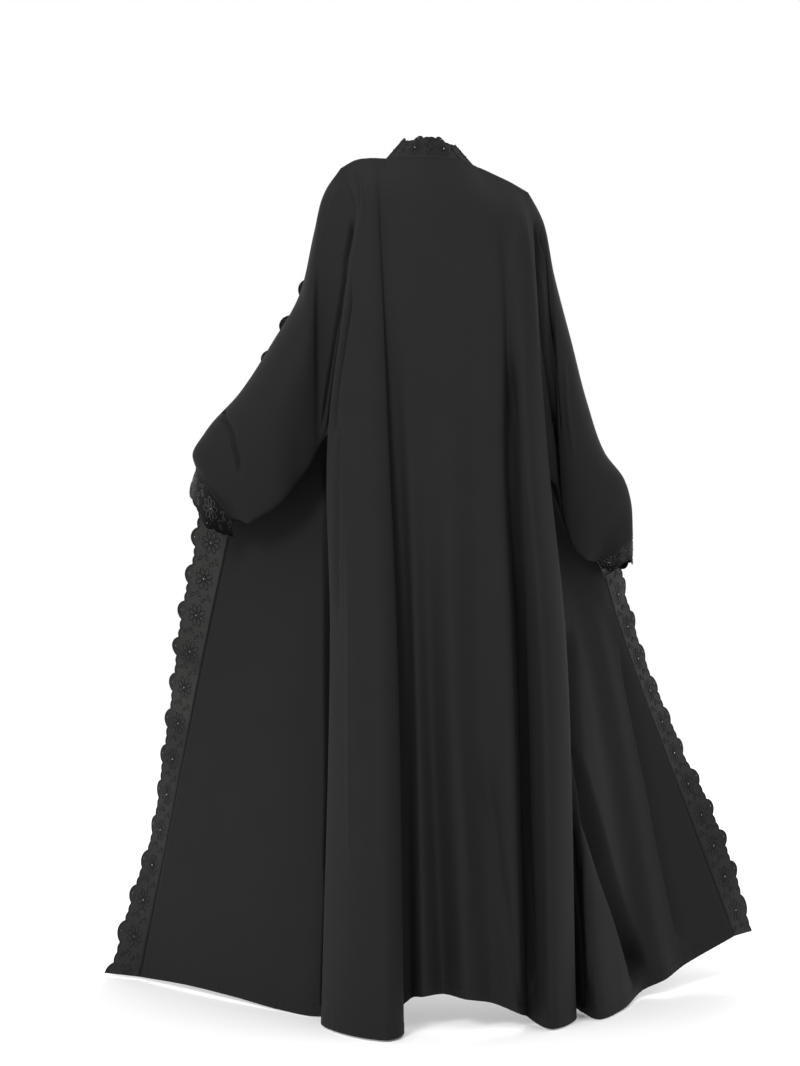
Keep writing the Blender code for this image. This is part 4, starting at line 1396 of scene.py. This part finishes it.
@dataclass
class Trim:
    """Embroidered net trim with its corded edge, flowers, beads and stitched binding."""

    name: str
    strip: Strip
    net_step: float = 0.0026
    net_rows: int = 7
    cord_step: float = 0.0022
    binding_step: float = 0.005
    binding: float = 0.0062             # width of the folded binding
    binding_lap: float = 0.0006         # how far it reaches past the trim's own edge
    binding_half_height: float = 0.00095
    binding_corners: int = 12
    binding_powers: tuple[float, float] = (0.45, 0.6)   # across it and through it
    binding_end: float = 0.02           # its closed end, as a share of its section
    stitch_step: float = 0.004
    stitch_insets: tuple[float, float] = (0.0004, 0.0022)   # from the binding's two edges
    stitch_height: float = 0.00096
    end_gap: float = 0.002              # kept free of embroidery at both ends
    edge_gap: float = 0.0028            # kept free of it inside the lobed edge
    bead_gap: float = 0.004
    bead_radius: float = 0.00135
    lobe_bead_radius: float = 0.0009
    lobe_bead_at: float = 0.75          # from the lobe's tip, as a share of its depth
    bead_rise: float = 0.7              # its middle above the net, as a share of its radius
    flower: Flower = Flower()

    def build(self, net: Material, look: TrimLook) -> None:
        """Make every piece of the trim.

        Args:
            net: Finish of the net.
            look: Finishes of the pieces on it.
        """
        strip = self.strip
        piece = self.make_net(net)
        made = {"embroidery": (self.embroidery(), look.thread), "cord": (self.cords(), look.cord),
                "beads": (self.beads(), look.bead), "binding": (self.folded_binding(), look.binding),
                "stitches": (self.stitches(), look.sewing)}
        on_it = [declare(parts.build(f"{self.name}_{kind}", finish))
                 for kind, (parts, finish) in made.items()]
        cut = float(strip.edge(np.linspace(0.0, strip.length, 2000)).mean()) * strip.length
        LOG.info("%s: %.3f m long, %d lobes", self.name, strip.length, round(strip.length / strip.pitch))

    def make_net(self, net: Material) -> bpy.types.Object:
        """The strip of net itself."""
        strip = self.strip
        count = round(strip.length / self.net_step) + (0 if strip.closed else 1)
        along = np.linspace(0.0, strip.length, count, endpoint=not strip.closed)
        across = strip.edge(along)[None, :] * np.linspace(0.0, 1.0, self.net_rows + 1)[:, None]
        points, _ = strip.at(along[None, :], across)
        coords = np.stack([np.broadcast_to(along, across.shape), -across], axis=-1)
        if strip.facing > 0.0:
            points, coords = points[:, ::-1], coords[:, ::-1]
        parts = MeshParts().add_grid(points, coords, round_trip=strip.closed)
        return declare(parts.build(f"{self.name}_net", net, NET_THICKNESS), self.name)

    def add_repeated(self, parts: MeshParts, loops: Array, cord: Tube) -> None:
        """Add one repeat's outlines in cord, set out along the strip, off its edge and ends.

        Args:
            parts: Parts to add them to.
            loops: Outlines of one repeat.
            cord: Section of the cord.
        """
        strip = self.strip
        centres = strip.centres()
        places = loops[None] + np.stack([centres, np.zeros_like(centres)], axis=-1)[:, None, None]
        places = places.reshape(-1, *loops.shape[1:])
        along = places[:, :, 0]
        if strip.closed:
            middle = along.mean(axis=1)
            places = places[(middle >= 0.0) & (middle < strip.length)]
        else:
            low, high = along.min(axis=1), along.max(axis=1)
            places = places[(low > self.end_gap) & (high < strip.length - self.end_gap)]
        across = np.minimum(places[..., 1], strip.edge(places[..., 0]) - self.edge_gap)
        parts.add_tubes(*strip.at(places[..., 0], across), cord, closed=True)

    def embroidery(self) -> MeshParts:
        """Flowers and leaves."""
        parts = MeshParts()
        self.add_repeated(parts, self.flower.loops(self.strip.width, self.strip.pitch), FLOWER_CORD)
        return parts

    def cords(self) -> MeshParts:
        """Corded lobed edge, the fine cord inside it and the petals in the lobes."""
        parts, strip = MeshParts(), self.strip
        along = strip.steps(self.cord_step)
        for inset, cord in EDGE_CORDS:
            points, normals = strip.at(along, strip.edge(along) - inset)
            parts.add_tubes(points[None], normals[None], cord, closed=strip.closed)
        self.add_repeated(parts, self.flower.lobe_loops(strip.width, strip.pitch), PETAL_CORD)
        return parts

    def beads(self) -> MeshParts:
        """One bead at the centre of every flower, and a small one in every lobe."""
        parts, strip = MeshParts(), self.strip
        centres = strip.centres()
        centres = centres[(centres > self.bead_gap) & (centres < strip.length - self.bead_gap)]
        for across, radius in ((self.flower.centre * strip.width, self.bead_radius),
                               (strip.width * (1.0 - self.lobe_bead_at * LOBE_SHARE),
                                self.lobe_bead_radius)):
            ball, quads = bead_mesh(radius)
            points, _ = strip.at(centres, across, NET_THICKNESS + self.bead_rise * radius)
            faces = quads[None] + np.arange(len(points))[:, None, None] * len(ball)
            parts.add(points[:, None] + ball[None], faces, np.zeros(faces.shape + (2,)))
        return parts

    def folded_binding(self) -> MeshParts:
        """Folded strip of crepe over the trim's inner edge, as a closed profile along it.

        Formula in words: a flattened round, its cosine and sine raised to powers below one,
        drawn in to a closed end where the strip has ends.
        """
        strip = self.strip
        along = strip.steps(self.binding_step)
        size = np.ones(len(along))
        if not strip.closed:
            along = np.concatenate([along[:1], along, along[-1:]])
            size = np.concatenate([[self.binding_end], size, [self.binding_end]])
        turn = 2.0 * math.pi * np.arange(self.binding_corners) / float(self.binding_corners)
        flat, thick = (np.sign(wave) * np.abs(wave) ** power
                       for wave, power in zip((np.cos(turn), np.sin(turn)), self.binding_powers))
        half = self.binding / 2.0
        across = half - self.binding_lap + half * flat[:, None] * size[None, :]
        points, _ = strip.at(along, across, self.binding_half_height * thick[:, None] * size[None, :])
        coords = np.stack([np.broadcast_to(along, across.shape), across], axis=-1)
        if strip.facing < 0.0:
            points, coords = points[:, ::-1], coords[:, ::-1]
        return MeshParts().add_grid(points, coords, round_trip=strip.closed, closed=True)

    def stitches(self) -> MeshParts:
        """Two rows of stitches on both faces of the binding."""
        parts, strip = MeshParts(), self.strip
        along = np.linspace(0.0, strip.length, round(strip.length / self.stitch_step) + 1)
        for across in (self.stitch_insets[0], self.binding - self.stitch_insets[1]):
            parts.add_stitches(*strip.at(along, across), self.stitch_height, TRIM_STITCH)
        return parts


def front_strip(panel: Panel, edge: int, inner: int, turns: tuple[Turn, ...], corner: Place,
                pitch: float, last_lobe: float) -> Strip:
    """Strip of a front trim, from the neck to the hem.

    Formula in words: at each row the way is the panel's own way out, turned about the edge by
    the table's angle, level at the hem, and led into the neck's corner near the top.

    Args:
        panel: Front panel that carries it.
        edge: Column of the panel's front edge.
        inner: Column beside it.
        turns: How far the trim turns, down its length.
        corner: Way of the trim at the corner of the neck.
        pitch: From one lobe to the next.
        last_lobe: From the last lobe to the hem, as a share of the pitch.

    Returns:
        The strip on the fine panel's edge.
    """
    line = panel.coarse.points[:, edge]
    tangent = unit(np.gradient(line, axis=0))
    out = line - panel.coarse.points[:, inner]
    out = unit(out - tangent * (out * tangent).sum(axis=1, keepdims=True))
    share = shares_along(line)
    angle = np.radians(np.interp(share, *np.array(turns).T))[:, None]
    ways = out * np.cos(angle) + panel.coarse.normals[:, edge] * np.sin(angle)
    level = np.clip((share - 1.0 + HEM_LEVEL_SHARE) / HEM_LEVEL_SHARE, 0.0, 1.0)
    ways[:, 2] *= 1.0 - level
    ways = led(ways, corner, share, FRONT_BLEND)
    base = panel.cloth.points[:, edge]
    ways = unit(along_line(ways, share, shares_along(base)))
    return Strip(base, ways, FRONT_TRIM_WIDTH, pitch, last_lobe,
                 facing=-1.0 if edge == 0 else 1.0, sway=FRONT_SWAY)


def round_strip(base: Array, ways: Array, width: float, facing: float, sway: float,
                closed: bool = False) -> Strip:
    """Strip with whole lobes from its start to its end, half a pitch free at both."""
    length = reached_along(base)[-1]
    pitch = length / round(length / PITCH_ROUND)
    return Strip(base, ways, width, pitch, last_lobe=0.5, facing=facing, sway=sway, closed=closed)


def cuff_strip(sleeve: Sleeve, quarters: CuffWays) -> Strip:
    """Strip round a cuff, hanging from the sleeve's last ring.

    Formula in words: at each point the way is the sum of the quarters' ways, each times the
    square of the cosine or sine that points to it.

    Args:
        sleeve: Sleeve that carries it.
        quarters: Ways at the four quarters of the cuff.

    Returns:
        The closed strip.
    """
    turn = 2.0 * math.pi * sleeve.cloth.columns
    high, rear = np.cos(turn)[:, None], np.sin(turn)[:, None]
    ways = np.maximum(high, 0.0) ** 2 * quarters.outer + np.minimum(high, 0.0) ** 2 * quarters.under
    ways += np.maximum(rear, 0.0) ** 2 * quarters.back + np.minimum(rear, 0.0) ** 2 * quarters.front
    base, ways = (np.concatenate([ring, ring[:1]]) for ring in (sleeve.cloth.points[-1], unit(ways)))
    return round_strip(base, ways, CUFF_TRIM_WIDTH, facing=-1.0, sway=CUFF_SWAY, closed=True)


def neck_strip(back: Panel, left: Panel, right: Panel) -> Strip:
    """Strip standing round the neck, from the left front edge to the right one.

    Formula in words: it stands up and leans in towards the neck's centre, more at the sides,
    and is led into the two front corners.

    Args:
        back: Back panel.
        left: Left front.
        right: Right front.

    Returns:
        The strip on the fine panels' top edges.
    """
    row = back.cloth.points[0]
    ends = [front.cloth.points[0] for front in (left, right)]
    ends = [end[end[:, 1] <= -NECK_CLEAR] for end in ends]
    line = np.concatenate([ends[0], row[~beside_neck(row)], ends[1]])
    line = line[np.concatenate([[True], np.linalg.norm(np.diff(line, axis=0), axis=1) > NECK_STEP])]
    share = shares_along(line)
    inwards = unit(NECK_CENTRE - line[:, :2])
    lean = NECK_LEAN_BACK + NECK_LEAN_SIDE * np.abs(inwards[:, :1])
    ways = unit(np.column_stack([lean * inwards, np.ones(len(line))]))
    ways = led(led(ways, CORNER_LEFT, share, NECK_BLEND), CORNER_RIGHT, 1.0 - share, NECK_BLEND)
    return round_strip(line, ways, NECK_TRIM_WIDTH, facing=1.0, sway=NECK_SWAY)


# ---------------------------------------------------------------- listed creases

# A place is (fold line or share round, metres or share down); width and depth are in mm.
BACK_CREASES = (
    Crease(((12.01, 1.07), (12.15, 1.18), (12.28, 1.25), (12.39, 1.34), (12.61, 1.43), (12.82, 1.51),
            (13.03, 1.56)), (9, 12), -5, (0.15, 0)),
    Crease(((3.47, 0.05), (3.24, 0.1), (3.69, 0.15)), (3, 3), -2.5, (0.02, 0.03)),
    Crease(((2.69, 0.03), (2.03, 0.08), (1.29, 0.12)), (2.5, 4), -4, (0.02, 0.02)),
    Crease(((2.29, 0.21), (2.43, 0.24), (2.69, 0.28), (3.34, 0.33)), (3, 3), -2, (0.03, 0.05)),
    Crease(((3.65, 0.64), (3.47, 0.86), (3.36, 1.1), (3.34, 1.35)), (5, 9), 2, (0.2, 0.2)),
    Crease(((11.11, 1.01), (11.18, 1.16), (11.26, 1.31), (11.37, 1.46)), (8, 14), 2.5, (0.2, 0.2)),
    Crease(((15.78, 0.06), (15, 0.13), (14.55, 0.18)), (5, 6), -3, (0.04, 0.05)),
    Crease(((13.71, 0.3), (14.06, 0.4), (14.4, 0.48), (14.31, 0.69), (14.05, 0.92), (13.99, 1.11),
            (14.02, 1.28), (14.35, 1.46), (14.55, 1.54)), (4, 14), -18, (0.15, 0.05)),
    Crease(((2.37, 0.25), (2.6, 0.31), (2.71, 0.37), (2.73, 0.43), (2.78, 0.48), (2.83, 0.53)), (7, 7), -18,
            (0.06, 0.05)),
    Crease(((3.18, 0.47), (3.25, 0.53), (3.22, 0.6), (3.14, 0.69), (2.98, 0.78), (2.94, 0.87)), (14, 4), -7,
            (0.06, 0.08)),
)
FRONT_LEFT_CREASES = (
    Crease(((2.74, 0.43), (2.26, 0.52), (1.9, 0.62), (1.38, 0.82), (1.12, 1.01), (0.94, 1.2), (0.91, 1.3),
            (0.81, 1.37), (0.83, 1.48), (0.81, 1.56)), (4, 9), -24, (0.05, 0)),
    Crease(((3.1, 0.1), (3.3, 0.28), (3.2, 0.46)), (9, 14), -5, (0.06, 0.12)),
    Crease(((4.2, 0.12), (4, 0.3), (4.1, 0.5)), (7, 10), -4, (0.08, 0.14)),
    Crease(((2.1, 0.12), (2.3, 0.26), (2.2, 0.4)), (12, 8), 3.5, (0.06, 0.12)),
)
FRONT_RIGHT_CREASES = (
    Crease(((1.82, 1.12), (2.43, 1.19), (3.04, 1.3), (3.55, 1.4), (3.91, 1.48), (4.21, 1.55)), (40, 7), -42,
            (0.07, 0.03)),
    Crease(((2.47, 0.86), (2.21, 0.95), (1.98, 1.03), (1.81, 1.1), (1.7, 1.16)), (12, 22), -20,
            (0.05, 0.05)),
    Crease(((1.3, 1.26), (1.21, 1.33), (1.26, 1.38), (1.28, 1.45), (1.19, 1.51), (1.1, 1.56)), (6, 4), -11,
            (0.06, 0)),
    Crease(((1.86, 1.29), (1.74, 1.38), (1.68, 1.46), (1.6, 1.53)), (6, 6), 5, (0.06, 0.03)),
    Crease(((6.44, 0.89), (6.19, 1.02), (6.09, 1.13), (6.06, 1.24), (5.99, 1.35), (5.99, 1.45),
            (5.98, 1.54)), (5, 15), -7.5, (0.08, 0.05)),
    Crease(((4.9, 0.12), (5.1, 0.3), (5, 0.52)), (9, 13), -4.5, (0.08, 0.14)),
    Crease(((6, 0.12), (5.8, 0.26), (5.9, 0.44)), (6, 9), -3.5, (0.06, 0.12)),
    Crease(((3.6, 0.14), (3.8, 0.3), (3.7, 0.48)), (11, 8), 3.5, (0.08, 0.12)),
)
SLEEVE_LEFT_CREASES = (
    Crease(((0.115, 0.01), (0.163, 0.02), (0.199, 0.03), (0.223, 0.03), (0.263, 0.04), (0.326, 0.07),
            (0.384, 0.11), (0.426, 0.14)), (4, 6), -16, (0.03, 0.05)),
    Crease(((0.273, 0.02), (0.349, 0.03), (0.419, 0.06), (0.492, 0.09)), (9, 11), -26, (0.05, 0.08)),
    Crease(((0.03, 0.04), (0.067, 0.08), (0.096, 0.1), (0.127, 0.13), (0.129, 0.21)), (4, 5), 2,
            (0.02, 0.05)),
    Crease(((0.014, 0.82), (0.1, 0.82), (0.16, 0.81), (0.217, 0.81), (0.259, 0.81), (0.297, 0.82)), (3, 7),
            -9, (0.006, 0.04), 1.6),
    Crease(((0.72, 0.1), (0.75, 0.35), (0.7, 0.62)), (8, 12), -5, (0.05, 0.12)),
    Crease(((0.86, 0.3), (0.84, 0.6), (0.87, 0.93)), (7, 9), -4, (0.06, 0.05)),
    Crease(((0.6, 0.55), (0.62, 0.78), (0.58, 0.97)), (6, 8), -4.5, (0.06, 0.02)),
    Crease(((0.78, 0.8), (0.7, 0.82), (0.62, 0.86)), (5, 6), -4.5, (0.02, 0.03)),
)
SLEEVE_RIGHT_CREASES = (
    Crease(((0.065, 0.04), (0.114, 0.04), (0.161, 0.03), (0.217, 0.01), (0.265, 0.02), (0.302, 0.04),
            (0.324, 0.07), (0.346, 0.1), (0.365, 0.15), (0.398, 0.18), (0.463, 0.21)), (6, 13), -32,
            (0.05, 0.06)),
    Crease(((0.149, 0.06), (0.206, 0.06), (0.25, 0.06), (0.286, 0.07)), (4, 4), 3, (0.02, 0.04)),
    Crease(((0.066, 0.08), (0.108, 0.1), (0.141, 0.12), (0.188, 0.12), (0.228, 0.13), (0.254, 0.17),
            (0.272, 0.22), (0.3, 0.26), (0.33, 0.29)), (4, 5), -15, (0.04, 0.06)),
    Crease(((0.175, 0.33), (0.252, 0.39), (0.297, 0.53)), (15, 15), 4, (0.05, 0.08)),
    Crease(((0.71, 0.1), (0.74, 0.38), (0.69, 0.66)), (8, 12), -5, (0.05, 0.12)),
    Crease(((0.87, 0.28), (0.84, 0.58), (0.86, 0.92)), (7, 9), -4, (0.06, 0.05)),
    Crease(((0.59, 0.58), (0.61, 0.8), (0.57, 0.97)), (6, 8), -4, (0.06, 0.02)),
    Crease(((0.8, 0.78), (0.72, 0.81), (0.65, 0.83)), (5, 6), -4, (0.02, 0.03)),
)


# ---------------------------------------------------------------- the garment and its studio


@dataclass
class Abaya:
    """The whole garment: its finishes and the flat sizes of its cuts."""

    crepe: CrepeFinish = CrepeFinish()
    net: NetFinish = NetFinish()
    lined_net: NetFinish = NetFinish(double="#111111")
    sewing: ThreadFinish = ThreadFinish("#121212", "#0c0c0c")
    back_cut: Cut = Cut(0.96, 1.58, 1.19)
    front_cut: Cut = Cut(0.56, 1.58, 0.51)
    left_sleeve_cut: Cut = Cut(0.98, 0.50, 0.245)
    right_sleeve_cut: Cut = Cut(0.98, 0.50, 0.225)

    def looks(self) -> tuple[TrimLook, TrimLook, TrimLook]:
        """Finishes on the front trims, on the cuffs, whose thread is a lighter copy with painted sheen on
        top of its real gloss, and on the neck.
        """
        bead = BeadFinish().material("silver_lined_bead")
        dark = ThreadFinish().material("rayon_embroidery")
        # cuff thread: a lighter base colour as painted sheen, with a glossier real finish too
        painted_sheen_thread = ThreadFinish("#303032", "#202021", roughness=0.45, gloss=0.35)
        painted_sheen_thread = painted_sheen_thread.material("rayon_embroidery_painted_sheen")
        cord = ThreadFinish("#1e1d1c", "#161515").material("edge_cord")
        # binding on the front trims: the crepe in a darker copy, painted shade
        front = CrepeFinish("#101010", "#0c0c0c").material("crepe_binding")
        # binding on the cuffs and neck: the crepe in a lighter copy, painted highlight
        cuff = CrepeFinish("#232323", "#1c1c1c").material("crepe_binding_painted_highlight")
        return (TrimLook(dark, cord, bead, front, dark), TrimLook(painted_sheen_thread, cord, bead, cuff, dark),
                TrimLook(dark, cord, bead, cuff, dark))

    def build(self) -> None:
        """Make every panel, sleeve and trim."""
        crepe = self.crepe.material("nida_crepe")
        thread = self.sewing.material("sewing_thread")
        back = Panel("back", back_net(), half=Half.BACK, steps=2, fine=20, creases=BACK_CREASES)
        left = Panel("front_left", lowered([row[1:] for row in FRONT_LEFT]), half=Half.FRONT, steps=3,
                     fine=32, creases=FRONT_LEFT_CREASES, mirrored=True)
        right = Panel("front_right", lowered([row[1:] for row in FRONT_RIGHT]), half=Half.FRONT, steps=3,
                      fine=24, creases=FRONT_RIGHT_CREASES)
        sew_side(back, 0, left, -1)
        sew_side(back, -1, right, 0)
        sleeve_left = Sleeve("sleeve_left", SLEEVE_LEFT, back, left, 0, -1, SLEEVE_LEFT_CREASES)
        sleeve_right = Sleeve("sleeve_right", SLEEVE_RIGHT, back, right, -1, 0, SLEEVE_RIGHT_CREASES,
                              mirrored=True)
        back.build(crepe, thread, self.back_cut)
        left.build(crepe, thread, self.front_cut)
        right.build(crepe, thread, self.front_cut)
        sleeve_left.build(crepe, self.left_sleeve_cut)
        sleeve_right.build(crepe, self.right_sleeve_cut)
        self.add_trims(back, (left, right), (sleeve_left, sleeve_right))

    def add_trims(self, back: Panel, fronts: tuple[Panel, Panel],
                  sleeves: tuple[Sleeve, Sleeve]) -> None:
        """Make the trims of both fronts, both cuffs and the neck.

        Args:
            back: Back panel.
            fronts: Left and right front.
            sleeves: Left and right sleeve.
        """
        front_look, cuff_look, neck_look = self.looks()
        strips = (front_strip(fronts[0], 0, 1, TURNS_LEFT, CORNER_LEFT, PITCH_LEFT, last_lobe=0.0),
                  front_strip(fronts[1], -1, -2, TURNS_RIGHT, CORNER_RIGHT, PITCH_RIGHT, last_lobe=0.66))
        # each front trim's net takes painted see-through light where one layer hangs clear
        for side, strip, painted_see_through_at in zip(("left", "right"), strips, (PAINTED_SEE_THROUGH_LEFT, PAINTED_SEE_THROUGH_RIGHT)):
            name = f"trim_front_{side}"
            net = self.net.material(f"tulle_{name}", strip.length, painted_see_through_at)
            Trim(name, strip).build(net, front_look)
        lined = self.lined_net.material("tulle_lined", length=1.0, painted_see_through_at=((0.0, 0.0),))
        # the neck's net takes a little painted see-through light all along
        lined_neck = self.net.material("tulle_lined_neck", length=1.0, painted_see_through_at=((0.0, 0.1),))
        for side, sleeve, quarters in zip(("left", "right"), sleeves, (CUFF_LEFT, CUFF_RIGHT)):
            Trim(f"trim_cuff_{side}", cuff_strip(sleeve, quarters)).build(lined, cuff_look)
        Trim("trim_neck", neck_strip(back, *fronts)).build(lined_neck, neck_look)


class Lamp(NamedTuple):
    """Square area lamp that looks at the garment's middle."""

    name: str
    place: Place
    power: float
    size: float


@dataclass
class Studio:
    """Plain pale room with soft light, and the camera."""

    wall: str = "#ffffff"
    ground: str = "#fdfdfd"
    floor: float = -1.5605
    reach: float = 9.0
    middle: Place = (0.0, 0.0, -0.7)
    camera_place: Place = (0.0646, 4.5, -0.66)
    lens_mm: float = 82.4
    lamps: tuple[Lamp, ...] = (
        Lamp("key", (2.0, 4.6, 1.8), 168.0, 1.4),
        Lamp("fill", (-3.6, 3.0, 0.6), 7.0, 2.2),
        Lamp("front_key", (-0.9, -4.9, 1.3), 80.0, 1.8),
        Lamp("top", (0.0, 0.4, 3.2), 16.0, 2.4),
    )

    def build(self) -> None:
        """Make the camera, the lights, the world and the floor."""
        scene = bpy.context.scene
        camera = bpy.data.cameras.new("camera")
        camera.lens = self.lens_mm
        camera.sensor_width = 36.0
        camera.clip_end = 60.0
        level = (math.radians(90.0), 0.0, math.radians(180.0))
        scene.camera = self.put("camera", camera, self.camera_place, level)
        for lamp in self.lamps:
            light = bpy.data.lights.new(lamp.name, "AREA")
            light.energy = lamp.power
            light.size = lamp.size
            x, y, z = np.array(self.middle) - np.array(lamp.place)
            turn = (math.atan2(math.hypot(x, y), -z), 0.0, math.atan2(-x, y))
            self.put(lamp.name, light, lamp.place, turn)
        scene.world = bpy.data.worlds.new("studio")
        scene.world.use_nodes = True
        feed(scene.world.node_tree.nodes["Background"], {"Color": srgb(self.wall), "Strength": 1.0}, {})
        scene.view_settings.view_transform = "Standard"
        self.make_floor()

    def put(self, name: str, data: bpy.types.ID, place: Place, turn: Place) -> bpy.types.Object:
        """Object for a camera or a light, at its place and with its turn."""
        item = bpy.data.objects.new(name, data)
        item.location = place
        item.rotation_euler = turn
        bpy.context.scene.collection.objects.link(item)
        return item

    def make_floor(self) -> None:
        """A wide pale floor under the hem."""
        x, y = np.meshgrid((-self.reach, self.reach), (-self.reach, self.reach))
        points = np.stack([x, y, np.full_like(x, self.floor)], axis=-1)
        material, _, shader = new_material("pale_floor")
        feed(shader, {"Base Color": srgb(self.ground), "Roughness": 0.9}, {})
        MeshParts().add_grid(points, points[..., :2]).build("floor", material)


def main() -> None:
    """Build the garment and its studio."""
    logging.basicConfig(level=logging.INFO, format="%(name)s: %(message)s")
    Abaya().build()
    Studio().build()


if __name__ == "__main__":
    main()
